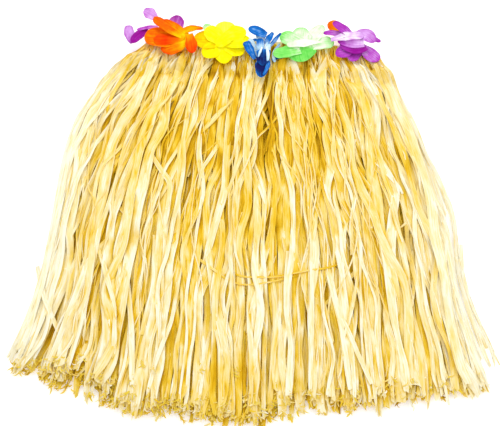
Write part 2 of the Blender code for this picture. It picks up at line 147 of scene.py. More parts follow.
world = bpy.data.worlds.new("studio")
bpy.context.scene.world = world
world.use_nodes = True
world.node_tree.nodes["Background"].inputs["Color"].default_value = (1.0, 1.0, 1.0, 1.0)
world.node_tree.nodes["Background"].inputs["Strength"].default_value = SURROUND
for panel in PANELS:
    light = bpy.data.lights.new(panel["name"], "AREA")
    light.size = panel["size"] * MM
    light.energy = panel["watts"]
    lamp = bpy.data.objects.new(panel["name"], light)
    bpy.context.scene.collection.objects.link(lamp)
    place = Vector(WAIST) + Vector(panel["place"])
    lamp.location = place * MM
    lamp.rotation_mode = "QUATERNION"
    lamp.rotation_quaternion = (aim - place).to_track_quat("-Z", "Y")
print("lights", [panel["name"] for panel in PANELS])


# %% [markdown]
# Materials are written as sums. This class wraps one socket of a node tree, and each sign between two of
# them adds the Math node that does it. Any other node comes from its make method.

# %% Shader sums
class Wire:
    """A socket in a material's node tree, which can be added, multiplied and passed to other nodes."""

    def __init__(self, tree, socket=None):
        self.tree = tree
        self.socket = socket

    def make(self, kind, settings=None, sockets=None, output=0):
        """Adds any node: its type, its settings, the values or wires of its sockets, and which output."""
        node = self.tree.nodes.new(kind)
        for key, value in (settings or {}).items():
            if key == "stops":
                ramp = node.color_ramp
                while len(ramp.elements) < len(value):
                    ramp.elements.new(0.5)
                for element, (place, colour) in zip(ramp.elements, value):
                    element.position = place
                    element.color = (*colour, 1.0)
            else:
                setattr(node, key, value)
        for key, value in (sockets or {}).items():
            if isinstance(value, Wire):
                self.tree.links.new(value.socket, node.inputs[key])
            else:
                node.inputs[key].default_value = value
        return Wire(self.tree, node.outputs[output])

    def math(self, operation, first, second=0.0):
        return self.make("ShaderNodeMath", {"operation": operation}, {0: first, 1: second})

    def __add__(self, other):
        return self.math("ADD", self, other)

    def __radd__(self, other):
        return self.math("ADD", other, self)

    def __sub__(self, other):
        return self.math("SUBTRACT", self, other)

    def __mul__(self, other):
        return self.math("MULTIPLY", self, other)

    def attribute(self, name):
        """The value of a named attribute of the mesh."""
        return self.make("ShaderNodeAttribute", {"attribute_name": name}, output="Fac")

    def ramp(self, factor, stops):
        return self.make("ShaderNodeValToRGB", {"stops": stops}, {"Fac": factor})

    def mix(self, factor, first, second):
        """A colour between two others."""
        node = self.tree.nodes.new("ShaderNodeMix")
        node.data_type = "RGBA"
        for place, value in ((0, factor), (6, first), (7, second)):
            if isinstance(value, Wire):
                self.tree.links.new(value.socket, node.inputs[place])
            else:
                node.inputs[place].default_value = value if place == 0 else (*value, 1.0)
        return Wire(self.tree, node.outputs[2])

    def noise(self, vector, scale, detail=2.0, roughness=0.5):
        """Smooth noise about 0.5 at each point of a vector."""
        return self.make(
            "ShaderNodeTexNoise", {},
            {"Vector": vector, "Scale": scale, "Detail": detail, "Roughness": roughness},
        )

    def stretched(self, vector, scale):
        """A vector with its parts multiplied, which stretches a pattern."""
        return self.make("ShaderNodeVectorMath", {"operation": "MULTIPLY"}, {0: vector, 1: scale})


def new_finish(name, roughness, sheen=0.0, specular=0.5):
    """A material with its shader, and the wire that its sums start from."""
    made = bpy.data.materials.new(name)
    made.use_nodes = True
    shader = made.node_tree.nodes["Principled BSDF"]
    shader.inputs["Roughness"].default_value = roughness
    shader.inputs["Sheen Weight"].default_value = sheen
    shader.inputs["Specular IOR Level"].default_value = specular
    return made, shader, Wire(made.node_tree)


def connect(wire, shader, name):
    wire.tree.links.new(wire.socket, shader.inputs[name])


# %% [markdown]
# The floor is a large plain sheet of matte white paper. It is part of the stage and not of the skirt.

# %% Floor
FLOOR_GLOW = 0.3
bpy.ops.object.select_all(action="DESELECT")
bpy.ops.mesh.primitive_plane_add(size=12.0, location=(0.0, 0.0, -0.0004))
floor = bpy.context.object
floor.name = "floor"
paper, paper_shader, start = new_finish("floor_paper", 0.9, specular=0.1)
place = start.make("ShaderNodeTexCoord", output="Object")
grain = start.noise(place, 40.0, 3.0)
connect(start.mix(grain, (0.9, 0.9, 0.9), (0.93, 0.93, 0.93)), paper_shader, "Base Color")
paper_shader.inputs["Emission Color"].default_value = (1.0, 1.0, 1.0, 1.0)
paper_shader.inputs["Emission Strength"].default_value = FLOOR_GLOW
floor.data.materials.append(paper)
print("floor laid")

# %% [markdown]
# Grass ribbons are a crinkled straw-coloured film, split into fine lengthwise fibres. The mesh carries each
# ribbon's tone and, as painted shade, how deep each point lies in the pile: a point deep among the others is
# painted a stronger gold than one on top, standing in for light that has come through the film above it. A UV
# map in millimetres, u across the ribbon and v along it, lets streaks and fibres follow each ribbon. Cut ends
# are a deeper gold, partly their own colour and partly painted shade among the ends at the hem.

# %% Grass finish
# Straw tones from deep gold to pale cream. The deepest, brownest stop serves mostly the painted shade in the
# gaps and the parting.
STRAW_TONES = (
    (-0.4, (0.4, 0.19, 0.0)),
    (0.0, (0.78, 0.44, 0.003)),
    (0.25, (0.88, 0.59, 0.04)),
    (0.5, (0.93, 0.7, 0.22)),
    (0.75, (0.94, 0.8, 0.43)),
    (1.0, (0.97, 0.93, 0.74)),
)
DEEPEST = STRAW_TONES[0][0]
# Colour of the cut ends: partly their own deeper gold, partly painted shade among the ends at the hem.
STRAW_CUT_AND_SHADE = (0.8, 0.58, 0.04)
# How far painted shade deep in the pile pushes the straw down the tones.
SUNK_SHADE_STRENGTH = 0.54


def grass_finish():
    made, shader, start = new_finish("straw_ribbon", 0.5, specular=0.08)
    across = start.make("ShaderNodeUVMap", {"uv_map": "ribbon"})
    streaks = start.noise(start.stretched(across, (0.8, 0.03, 1.0)), 1.0, 3.0, 0.6)
    fibres = start.noise(start.stretched(across, (3.6, 0.1, 1.0)), 1.0, 3.0, 0.65)
    blotches = start.noise(start.stretched(across, (0.14, 0.035, 1.0)), 1.0, 2.0)
    tone = start.attribute("tone")
    cut = start.attribute("cut")
    # Painted shade: points deep in the pile are pushed towards the deeper gold stops.
    sunk = start.attribute("sunk")
    depth = tone + (streaks - 0.5) * 1.1 + (fibres - 0.5) * 0.75 + (blotches - 0.5) * 0.8
    stops = [((step - DEEPEST) / (1.0 - DEEPEST), colour) for step, colour in STRAW_TONES]
    straw = start.ramp((depth - sunk * SUNK_SHADE_STRENGTH - DEEPEST) * (1.0 / (1.0 - DEEPEST)), stops)
    # Patches in the cut-end colour, which is partly painted shade.
    cut_and_shade_patches = start.noise(start.stretched(across, (0.9, 0.45, 1.0)), 1.0, 2.0)
    connect(start.mix(cut * (0.4 + cut_and_shade_patches * 1.2), straw, STRAW_CUT_AND_SHADE), shader, "Base Color")
    connect(0.4 + streaks * 0.3, shader, "Roughness")
    relief = start.make(
        "ShaderNodeBump", {}, {"Strength": 0.5, "Distance": 0.0006, "Height": fibres * 0.6 + streaks},
    )
    connect(relief, shader, "Normal")
    return made


straw_ribbon = grass_finish()
print("finish", straw_ribbon.name)

# %% [markdown]
# Every ribbon is fixed at the waist and fans out towards the hem. The tables give, for places along the
# waist, the way a ribbon there heads as it runs down, and how long it is cut, in pairs of place and length.
# A ribbon between two places reads both tables in between.

# %% How the grass fans out
FAN_STATIONS = (0.0, 50.0, 90.0, 140.0, 190.0, 250.0, 300.0, 370.0)
FAN = (
    {"root_x": -129.0, "heading": (-71.0, -42.0, -27.0, -11.0, -4.0, -6.0, -11.0, -21.0)},
    {"root_x": -118.0, "heading": (-42.0, -35.0, -26.0, -14.0, -6.0, -7.0, -12.0, -19.0)},
    {"root_x": -104.0, "heading": (-22.0, -23.0, -21.0, -15.0, -9.0, -8.0, -10.0, -13.0)},
    {"root_x": -67.0, "heading": (-14.0, -16.0, -16.0, -13.0, -9.0, -5.0, -5.0, -6.0)},
    {"root_x": 0.0, "heading": (-3.0, -4.0, -4.0, -3.0, -2.0, -1.0, -1.0, -2.0)},
    {"root_x": 58.0, "heading": (7.0, 8.5, 9.0, 7.0, 5.0, 3.0, 2.0, 1.0)},
    {"root_x": 96.0, "heading": (16.0, 17.0, 15.0, 11.0, 7.0, 6.0, 7.0, 6.0)},
    {"root_x": 129.0, "heading": (34.0, 20.0, 18.0, 19.0, 11.0, 3.0, 13.0, 19.0)},
)
CUT = (
    (-127.0, 378.0), (-120.0, 389.0), (-112.0, 389.0), (-86.0, 381.0),
    (-74.0, 399.0), (-56.0, 400.0), (-40.0, 401.0), (-12.0, 409.0),
    (4.0, 406.0), (22.0, 392.0), (44.0, 390.0), (55.0, 398.0),
    (66.0, 391.0), (90.0, 383.0), (108.0, 386.0), (127.0, 377.0),
)
HEADER_TOP = 2.0
HEADER_LIP = 4.0
HELD_RUN = 5.0
STEP = 2.0
LONGEST = 440.0


def home_heading(roots, along):
    """Degrees from straight down of ribbons rooted at these places, at one distance along."""
    here = [np.interp(along, FAN_STATIONS, row["heading"]) for row in FAN]
    return np.interp(roots, [row["root_x"] for row in FAN], here)


def cut_length(roots):
    """How long ribbons rooted at these places are, from the header's top to the hem."""
    places, lengths = zip(*CUT)
    return np.interp(roots, places, lengths) + HEADER_TOP + HEADER_LIP


def walk(roots, turned):
    """Walks ribbons down the skirt. turned gives each one's own degrees off its home way at a distance."""
    x, y = roots.copy(), waist_line(roots) + HEADER_TOP
    xs, ys = [x.copy()], [y.copy()]
    for k in range(int(LONGEST / STEP)):
        along = (k + 0.5) * STEP
        held = smooth((along - HEADER_TOP) / HELD_RUN)
        turn = np.radians((home_heading(roots, along - HEADER_TOP - HEADER_LIP) + turned(along)) * held)
        x = x + STEP * np.sin(turn)
        y = y - STEP * np.cos(turn)
        xs.append(x.copy())
        ys.append(y.copy())
    return np.array(xs).T, np.array(ys).T


edge_x, edge_y = walk(np.array([-129.0, 129.0]), lambda along: 0.0)
print("hem corners, mm", edge_x[:, -20].round(0), edge_y[:, -20].round(0))

# %% [markdown]
# A real ribbon is never straight. Each one here gets its own lean, its own sway and a kink every few
# centimetres, where it was packed. It also sways with the rest of its hank. There are four hanks at every
# place, which cross each other. Some ribbons swing right across their neighbours for part of their length.
# Ribbons at the sides are eased back inside the skirt's outline.

# %% Give each ribbon its own line
EDGE_MARGIN = 12.0
EDGE_SLACK = -5.0
EDGE_EASE_IN = 60.0
KINK_PITCH = 15.0
KINK_TURN = 4.0
SHARP_SHARE = 0.12
SHARPER = 2.2
OWN_LEAN = 1.2
HANKS = 4
HANKS_ACROSS = 300.0
HANK_WIDE = 17.0
HANK_LONG = 58.0
HANK_SWAY = 4.5
OWN_LONG = 44.0
OWN_SWAY = 2.0
CALMER = 0.6
CALM_FROM = 90.0
CALM_RUN = 170.0
ROOT_TURN = 12.0
ROOT_RUN = 20.0
ROOT_CALM_AT = 126.0
ROOT_CALM_RUN = 25.0
SWING_TURN = (6.0, 15.0)
SWING_FROM = (10.0, 260.0)
SWING_LONG = (60.0, 170.0)
SWING_EASE = 15.0
FLICK_LONG = (10.0, 30.0)
FLICK_EASE = 8.0


def own_lines(roots, lengths, chance, wild, crossing_share, flick_turn):
    """Each ribbon's line, as x and y at every step along it. Its end flicks aside."""
    count = len(roots)
    each = np.arange(count)
    kinks = chance.normal(0.0, KINK_TURN * wild, (int(LONGEST / KINK_PITCH) + 3, count))
    kinks *= np.where(chance.random(kinks.shape) < SHARP_SHARE, SHARPER, 1.0)
    kink_shift = chance.uniform(0.0, KINK_PITCH, count)
    lean = chance.normal(0.0, OWN_LEAN * wild, count)
    hank_grid = (HANKS, int(LONGEST / HANK_LONG) + 3, int(HANKS_ACROSS / HANK_WIDE) + 2)
    hanks = chance.normal(0.0, HANK_SWAY, hank_grid)
    hank = chance.integers(0, HANKS, count)
    place = (roots + HANKS_ACROSS / 2) / HANK_WIDE
    left = place.astype(int)
    right_share = place - left
    left_sway, right_sway = hanks[hank, :, left], hanks[hank, :, left + 1]
    hank_sway = left_sway * (1.0 - right_share)[:, None] + right_sway * right_share[:, None]
    own_sway = chance.normal(0.0, OWN_SWAY * wild, (count, int(LONGEST / OWN_LONG) + 3))
    swing = np.where(chance.random(count) < crossing_share, 1.0, 0.0)
    swing *= chance.choice([-1.0, 1.0], count) * chance.uniform(*SWING_TURN, count)
    swing_from = chance.uniform(*SWING_FROM, count)
    swing_run = chance.uniform(*SWING_LONG, count)
    root_turn = chance.normal(0.0, ROOT_TURN, count)
    root_turn = root_turn * np.clip((ROOT_CALM_AT - np.abs(roots)) / ROOT_CALM_RUN, 0.0, 1.0)
    flick = chance.normal(0.0, flick_turn, count)
    flick_run = chance.uniform(*FLICK_LONG, count)

    def turned(along):
        place = (along + kink_shift) / KINK_PITCH
        node = place.astype(int)
        share = place - node
        calm = 1.1 - CALMER * smooth((along - CALM_FROM) / CALM_RUN)
        turn = lean + (kinks[node, each] * (1.0 - share) + kinks[node + 1, each] * share) * calm
        for sway, long in ((hank_sway, HANK_LONG), (own_sway * calm, OWN_LONG)):
            down = int(along / long)
            part = along / long - down
            slope = (sway[:, down + 1] - sway[:, down]) / long * 6.0 * part * (1.0 - part)
            turn = turn + np.degrees(np.arctan(slope))
        turn = turn + root_turn * math.exp(-along / ROOT_RUN)
        begun = smooth((along - swing_from) / SWING_EASE)
        inside = begun * smooth((swing_from + swing_run - along) / SWING_EASE)
        return turn + swing * inside + flick * smooth((along - lengths + flick_run) / FLICK_EASE)

    xs, ys = walk(roots, turned)
    for i, sign in ((0, 1.0), (1, -1.0)):
        limit = np.interp(-ys, -edge_y[i], edge_x[i]) - sign * EDGE_SLACK
        inside = sign * (xs - limit)
        eased = EDGE_MARGIN * np.exp(np.minimum(0.0, inside / EDGE_MARGIN - 1.0))
        ease_in = smooth((waist_line(0) - ys) / EDGE_EASE_IN)
        xs = xs + sign * np.where(inside < EDGE_MARGIN, eased - inside, 0.0) * ease_in
    return xs, ys


# %% [markdown]
# Ribbons lie on each other, so they are laid one by one on a map of heights: a grid over the surface that
# knows how high the pile is at each place. A ribbon finds the height under every part of itself, bridges
# the dips because it is stiff, and then raises the map by its own crinkled shape.

# %% The map of heights
CELL = 1.5
MAP_LOW = np.array([-290.0, -450.0])
MAP_SIZE = (388, 340)
SETTLED_AT = 110.0
WAIST_LIFT = 4.2
RIBBON_ROOM = 0.12
LOWEST = 0.2
BRIDGE = 0.35
TWIST = 0.42
FOLD = 0.34
BUCKLE = 1.1
DENT = 0.26
PINCH = (0.05, 0.4)
HEAD_WIDE = 4.2
HEAD_WIDENS = (10.0, 40.0)
GATHER_RUN = 14.0
TUCK_DEEP = 3.0
CURL_RUN = 26.0
COLUMNS = np.linspace(-1.0, 1.0, 5)
FINE_COLUMNS = np.linspace(-1.0, 1.0, 9)
FINE = 4
STATION = 6.2
TUCK_ABOVE = -350.0
ROOTED_RUN = (16.0, 44.0)
RAGGED = 1.8
END_GATHER = 0.6
SPLITS = (3, 8)
SPLIT_SHARE = np.linspace(0.0, 1.0, 5)
SPLIT_LONG = (3.0, 8.0)
SPLIT_WIDE = (0.7, 1.9)
SPLIT_ASIDE = 30.0
SPLIT_CURL = 75.0
EDGES = np.array([-1.0, 1.0])

map_x = MAP_LOW[0] + CELL * np.arange(MAP_SIZE[0])
map_y = MAP_LOW[1] + CELL * np.arange(MAP_SIZE[1])
below_waist = np.maximum(0.0, waist_line(map_x)[:, None] - map_y[None, :])
heights = WAIST_LIFT * (1.0 - smooth(below_waist / SETTLED_AT))


def cells(x, y):
    """The map's cells under these places."""
    i = np.clip(((x - MAP_LOW[0]) / CELL).astype(int), 0, MAP_SIZE[0] - 1)
    j = np.clip(((y - MAP_LOW[1]) / CELL).astype(int), 0, MAP_SIZE[1] - 1)
    return i, j


def bridged(need, reach):
    """The height a stiff ribbon settles at over uneven ground."""
    window = 2 * reach + 1
    padded = np.pad(need, reach, mode="edge")
    highest = np.array([padded[i:i + window].max() for i in range(len(need))])
    typical = np.convolve(padded, np.ones(window) / window, "valid")
    mixed = BRIDGE * highest + (1.0 - BRIDGE) * typical
    return np.convolve(np.pad(mixed, reach, mode="edge"), np.ones(window) / window, "valid")


def wave(along, shortest, longest, chance):
    """A sine of its own length and start, along one ribbon."""
    run = chance.uniform(shortest, longest)
    return np.sin(2 * math.pi * along / run + chance.uniform(0.0, 2 * math.pi))


def crinkle(count, length, width, chance, relief):
    """Heights across and along one ribbon: lengthwise folds, a slow twist and small dents."""
    along = np.linspace(0.0, length, count)[:, None]
    waves = np.zeros((count, len(COLUMNS)))
    for c in range(len(COLUMNS)):
        waves[:, c] += FOLD * wave(along[:, 0], 60.0, 120.0, chance)
        waves[:, c] += FOLD * wave(along[:, 0], 20.0, 40.0, chance)
    waves += chance.uniform(-BUCKLE, BUCKLE) * wave(along, 50.0, 150.0, chance) * (1.0 - np.abs(COLUMNS))
    waves += chance.uniform(0.4, 1.2) * wave(along, 45.0, 130.0, chance) * COLUMNS * width / 2 * TWIST
    dents = chance.normal(0.0, DENT, ((count - 1) // FINE + 1, len(COLUMNS)))
    dent_at = np.linspace(0, count - 1, dents.shape[0])
    for c in range(len(COLUMNS)):
        waves[:, c] += np.interp(np.arange(count), dent_at, dents[:, c])
    waves *= relief
    return waves - waves.min(axis=1, keepdims=True)


def lay(xs, ys, length, width, root_z, chance, relief=1.0, curl=0.0, rooted_from=5.0):
    """Lays one ribbon on the pile. Gives its points, station by station, and how far along each is."""
    stations = max(8, int(round(length / STATION)))
    count = FINE * stations + 1
    along = np.linspace(0.0, length, count)
    steps = np.arange(len(xs)) * STEP
    x, y = np.interp(along, steps, xs), np.interp(along, steps, ys)
    way = np.stack([np.gradient(x), np.gradient(y)], axis=1)
    way /= np.linalg.norm(way, axis=1, keepdims=True)
    side = np.stack([-way[:, 1], way[:, 0]], axis=1)
    pinch = 1.0 - chance.uniform(*PINCH) * (0.5 + 0.5 * wave(along, 50.0, 160.0, chance)) ** 1.5
    narrow = min(HEAD_WIDE, width)
    wide = narrow + (width * pinch - narrow) * smooth((along - 4.0) / chance.uniform(*HEAD_WIDENS))
    wide = wide * (1.0 - chance.uniform(0.0, END_GATHER) * smooth((along - length + 16.0) / GATHER_RUN))
    shape = crinkle(count, length, width, chance, relief)
    shape *= (0.5 + 0.5 * smooth(along / 25.0))[:, None]
    fine_shape = np.array([np.interp(FINE_COLUMNS, COLUMNS, row) for row in shape])
    px = x[:, None] + side[:, :1] * FINE_COLUMNS * wide[:, None] / 2
    py = y[:, None] + side[:, 1:] * FINE_COLUMNS * wide[:, None] / 2
    under = cells(px, py)
    need = (heights[under] - 0.6 * fine_shape).max(axis=1) * 0.5 + heights[under].mean(axis=1) * 0.5
    base = bridged(need, 4) + RIBBON_ROOM
    rooted_run = chance.uniform(*ROOTED_RUN)
    if root_z is None:
        base = np.maximum(LOWEST, base - TUCK_DEEP * (1.0 - smooth(along / rooted_run)))
        if y[-1] > TUCK_ABOVE:
            tucked = smooth((along - length + rooted_run) / rooted_run)
            base = np.maximum(LOWEST, base - TUCK_DEEP * tucked)
    else:
        rooted = smooth((along - rooted_from) / rooted_run)
        base = root_z + (np.maximum(base, 0.0) - root_z) * rooted
    base = base + curl * smooth((along - length + CURL_RUN) / CURL_RUN) ** 2
    top = base[:, None] + fine_shape
    np.maximum.at(heights, under, top + RIBBON_ROOM)
    pick = slice(None, None, FINE)
    points = np.stack([
        x[pick, None] + side[pick, :1] * COLUMNS * wide[pick, None] / 2,
        y[pick, None] + side[pick, 1:] * COLUMNS * wide[pick, None] / 2,
        base[pick, None] + shape[pick],
    ], axis=2)
    ragged = chance.normal(0.0, RAGGED, 1) * COLUMNS + chance.normal(0.0, 0.5 * RAGGED, len(COLUMNS))
    points[-1, :, :2] += way[-1] * np.clip(ragged, -0.8 * STATION, STATION)[:, None]
    return points, along[pick], wide[pick]


def frayed(points, chance):
    """Split fibres at a ribbon's cut end: narrow strips that stand off at their own angles."""
    strips = []
    end, way = points[-1], points[-1, 2] - points[-3, 2]
    lie = math.atan2(way[1], way[0])
    for _ in range(chance.integers(*SPLITS)):
        share = chance.uniform(0.0, 1.0)
        start = end[0] * (1.0 - share) + end[-1] * share - way * chance.uniform(0.2, 0.9)
        turn = lie + math.radians(chance.normal(0.0, SPLIT_ASIDE))
        turn = turn + math.radians(chance.normal(0.0, SPLIT_CURL)) * SPLIT_SHARE
        step = chance.uniform(*SPLIT_LONG) / (len(SPLIT_SHARE) - 1)
        half = chance.uniform(*SPLIT_WIDE) / 2 * np.array([1.0, 1.1, 1.0, 0.8, 0.4])
        x, y = start[0] + step * np.cumsum(np.cos(turn)), start[1] + step * np.cumsum(np.sin(turn))
        z = np.maximum(0.3, start[2] + 0.4 + chance.normal(1.0, 1.2) * SPLIT_SHARE ** 2)
        strips.append(np.stack([
            x[:, None] - np.sin(turn)[:, None] * half[:, None] * EDGES,
            y[:, None] + np.cos(turn)[:, None] * half[:, None] * EDGES,
            z[:, None] + np.array([0.0, 0.3]),
        ], axis=2))
    return strips


# %% [markdown]
# The four layers are laid from the surface up, each ribbon in a mixed order. The front outer layer parts a
# little under the middle flower. Fine split fibres and a few long ribbons that lie across the others come
# last, on top, where the photograph shows them.

# %% Lay the ribbons
LAYERS = (
    {"node": "grass_back_outer", "ribbons": 130, "half": 127.0, "root_z": 4.4, "header_z": 5.3,
     "longer": -5.0, "spread": 4.0, "widths": (4.0, 10.0), "tone": 0.38, "relief": 1.2, "crossing": 0.12,
     "flick": 14.0, "cut": 0.7, "head_pile": 0.5},
    {"node": "grass_back_inner", "ribbons": 80, "half": 120.0, "root_z": 9.1, "header_z": 8.6,
     "longer": -6.0, "spread": 5.0, "widths": (4.0, 10.0), "tone": 0.34, "relief": 1.0, "crossing": 0.12,
     "flick": 20.0, "cut": 0.7, "head_pile": 0.4},
    {"node": "grass_front_inner", "ribbons": 130, "half": 120.0, "root_z": 10.4, "header_z": 11.2,
     "longer": -5.0, "spread": 5.0, "widths": (4.0, 10.0), "tone": 0.46, "relief": 1.1, "crossing": 0.16,
     "flick": 18.0, "cut": 0.6, "head_pile": 0.5},
    {"node": "grass_front_outer", "ribbons": 290, "half": 128.0, "root_z": 14.3, "header_z": 13.75,
     "longer": -3.0, "spread": 6.0, "widths": (3.2, 12.0), "tone": 0.76, "relief": 1.4, "crossing": 0.24,
     "flick": 6.0, "cut": 0.35, "head_pile": 3.2},
)
TONE_SPREAD = 0.15
WIDTH_SKEW = 1.5
HEAD_RISE = 10.0
HEAD_LEAN = 0.25
HEAD_HIGH = (0.7, 1.15)
HEAD_RUN = 40.0
# Near the heads the darker ribbons are made darker still: their own tone, deepened by painted shade under the
# flowers.
HEAD_PAINTED_SHADE = 2.6
SHORT_CORNER = (-100.0, -85.0)
PARTING_X = 10.0
PARTING_PUSH = 11.0
PARTING_REACH = 16.0
PARTING_LONG = 190.0
# Painted light: ribbons near the side edges are paler, as if the bright surround glows round them.
SIDE_PAINTED_GLOW = 0.34
# Painted shade along the parting under the middle flower.
VALLEY_PAINTED_SHADE = 0.5
VALLEY_WIDE = 7.0
VALLEY_LONG = 165.0
# Tone along the skirt: darker gold in its upper part, partly painted shade under the flowers, and paler
# towards the hem.
TONE_STATIONS = (0.0, 40.0, 70.0, 120.0, 190.0, 260.0, 340.0, 380.0)
TONE_DOWN = (-0.1, -0.06, -0.11, -0.14, -0.01, 0.06, 0.11, 0.08)
PALEST = 0.95
HEM_GOLD = 0.3
HEM_GOLD_FROM = 325.0
HEM_GOLD_RUN = 40.0
HEM_GOLD_ACROSS = (-62.0, -42.0, -8.0, 12.0)
SIDE_RUN = 42.0
SUNK_RUN = 75.0
CLUMPS = (
    {"place": (170, 142), "reach": (30.0, 32.0), "paler": -0.3},
    {"place": (320, 140), "reach": (20.0, 30.0), "paler": -0.34},
    {"place": (358, 150), "reach": (16.0, 24.0), "paler": 0.22},
    {"place": (262, 222), "reach": (34.0, 28.0), "paler": -0.32},
    {"place": (84, 236), "reach": (18.0, 36.0), "paler": -0.22},
    {"place": (202, 315), "reach": (18.0, 60.0), "paler": 0.17},
    {"place": (280, 320), "reach": (18.0, 44.0), "paler": 0.22},
    {"place": (404, 152), "reach": (15.0, 30.0), "paler": -0.22},
    {"place": (320, 262), "reach": (18.0, 22.0), "paler": 0.2},
    {"place": (400, 260), "reach": (18.0, 22.0), "paler": 0.14},
    {"place": (380, 296), "reach": (30.0, 22.0), "paler": -0.18},
    {"place": (120, 325), "reach": (20.0, 60.0), "paler": -0.28},
    {"place": (436, 350), "reach": (26.0, 26.0), "paler": -0.16},
    {"place": (44, 334), "reach": (12.0, 14.0), "paler": -0.2},
)
FRAY_ACROSS = (-240.0, 30.0, 60.0, 240.0)
FRAY_SHARE = (1.0, 1.0, 0.35, 0.3)
FIBRES = 24
WOVEN_FROM = 90
WOVEN_SHARE = 0.7
WOVEN_INSIDE = 104.0
WOVEN_WIDTHS = (2.0, 6.0)
WOVEN_LONG = (40.0, 115.0)
WOVEN_DRIFT = 9.5
WOVEN_PALER = 0.05
FIBRE_WIDTHS = (0.9, 1.9)
LONG_HEIGHT = 8.0
LONG_TONE = 0.8
THREAD_TONE = 0.3


def strand(width, *places, **own):
    """One row of the table: a traced strand's width, and the places in the frame that it passes."""
    return {"width": width, "places": places, **own}


LONG_ACROSS = (
    strand(6.0, (97, 250), (88, 263), (81, 284), (74, 303), (56, 348), (45, 374)),
    strand(5.0, (36, 262), (40, 280), (45, 301), (60, 335)),
    strand(5.5, (99, 250), (105, 270), (116, 311), (114, 360)),
    strand(6.5, (155, 235), (155, 281), (149, 307), (142, 337)),
    strand(4.5, (182, 260), (172, 321), (160, 352), (152, 377)),
    strand(6.0, (128, 280), (130, 307), (132, 332), (132, 388)),
    strand(6.5, (288, 250), (287, 280), (286, 312), (291, 347), (288, 399)),
    strand(5.0, (311, 255), (312, 280), (311, 356), (310, 399)),
    strand(6.0, (326, 262), (330, 280), (340, 323), (351, 394)),
    strand(9.0, (380, 240), (388, 280), (394, 323), (404, 367), (406, 395)),
    strand(5.0, (338, 310), (350, 338), (372, 387)),
    strand(2.6, (283, 113), (277, 121), (257, 140), (247, 167), (227, 205)),
    strand(6.0, (148, 150), (156, 165), (171, 185), (168, 212), (160, 240)),
    strand(8.0, (229, 110), (228, 135), (225, 192), (212, 237), (205, 262)),
    strand(4.5, (222, 140), (216, 151), (202, 171), (196, 200)),
    strand(4.0, (184, 140), (177, 153), (165, 171), (158, 200)),
    strand(3.0, (198, 259), (210, 268), (220, 275), (231, 284), tone=0.55),
    strand(2.1, (222, 272), (229, 280), (236, 285), (253, 287), (268, 284), (280, 280), (305, 275),
        tone=THREAD_TONE),
    strand(2.1, (229, 272), (236, 276), (249, 279), (268, 279), (283, 276), (305, 272), (323, 270),
        (345, 264), tone=THREAD_TONE),
    strand(4.0, (385, 80), (404, 112), (422, 148), (435, 180), (447, 215)),
    strand(4.0, (381, 68), (394, 88), (409, 117), (423, 147), (439, 180), (453, 216), (460, 252)),
    strand(3.0, (434, 168), (447, 200), (457, 235), (462, 275), (470, 300)),
    strand(4.0, (408, 112), (425, 150), (440, 178), (451, 202), (456, 225), (456, 250), (458, 275)),
    strand(5.0, (134, 60), (112, 77), (91, 95), (78, 115), (68, 142), (60, 182), (55, 222), (50, 255)),
    strand(6.0, (129, 66), (105, 85), (87, 106), (75, 131), (66, 166), (60, 202), (53, 245)),
    strand(5.0, (66, 150), (58, 190), (52, 230), (44, 268), (33, 300), (27, 325)),
    strand(3.5, (462, 240), (464, 280), (474, 305), (488, 338), (502, 365)),
    strand(2.6, (460, 255), (467, 292), (480, 322), (493, 350), (497, 368)),
    strand(5.0, (445, 240), (455, 290), (470, 330), (482, 362)),
    strand(5.0, (64, 190), (51, 250), (34, 305), (17, 352)),
    strand(4.0, (49, 250), (40, 285), (29, 318), (16, 340), (4, 358)),
    strand(5.0, (46, 262), (34, 300), (20, 338), (8, 361)),
    strand(5.5, (55, 230), (45, 275), (31, 325), (16, 364)),
    strand(3.6, (462, 262), (470, 298), (483, 326), (496, 352)),
    strand(5.0, (455, 255), (464, 292), (475, 322), (489, 348)),
    strand(5.0, (458, 270), (470, 310), (481, 340), (492, 366)),
    strand(3.5, (147, 36), (139, 44), (126, 57), (110, 76), (98, 98), tone=0.45, height=16.0),
    strand(4.0, (150, 40), (141, 52), (128, 66), (112, 90), (104, 112), tone=0.4, height=16.0),
    strand(4.0, (152, 46), (143, 60), (134, 78), (122, 104), tone=0.5, height=16.0),
    strand(4.0, (145, 42), (134, 54), (116, 70), (98, 92), (86, 112), tone=0.45, height=14.0),
    strand(4.0, (377, 52), (384, 66), (393, 82), (402, 102), tone=0.5, height=16.0),
    strand(4.0, (370, 56), (376, 72), (386, 94), (396, 120), tone=0.5, height=16.0),
)


def ribbon_uv(along, wide, chance):
    """u across and v along, in millimetres, each ribbon on its own part of the pattern."""
    shift = chance.uniform(0.0, 4000.0, 2)
    u = shift[0] + COLUMNS[None, :] * wide[:, None] / 2
    v = shift[1] + along[:, None] + np.zeros_like(u)
    return np.stack([u, v], axis=2)


def parted(xs, roots):
    """The front layer's lines, pushed away from its parting under the middle flower."""
    along = np.arange(xs.shape[1]) * STEP
    from_middle = roots - PARTING_X
    near = np.sign(from_middle) * np.exp(-np.abs(from_middle) / PARTING_REACH)
    swell = np.sin(math.pi * np.minimum(1.0, along / PARTING_LONG)) ** 2
    return xs + PARTING_PUSH * near[:, None] * swell[None, :]


def with_heads(xs, ys, roots, chance):
    """Lines with their heads, which are sewn up the face of the band."""
    rise = np.arange(HEAD_RISE, 0.0, -STEP)
    lean = chance.normal(0.0, HEAD_LEAN, (len(xs), 1))
    lean = lean - 0.6 * np.tan(np.radians(np.clip(home_heading(roots, 0.0), -40.0, 40.0)))[:, None]
    high = chance.uniform(*HEAD_HIGH, (len(xs), 1))
    heads_x = xs[:, :1] + lean * rise
    heads_y = ys[:, :1] + high * rise
    return np.concatenate([heads_x, xs], axis=1), np.concatenate([heads_y, ys], axis=1)


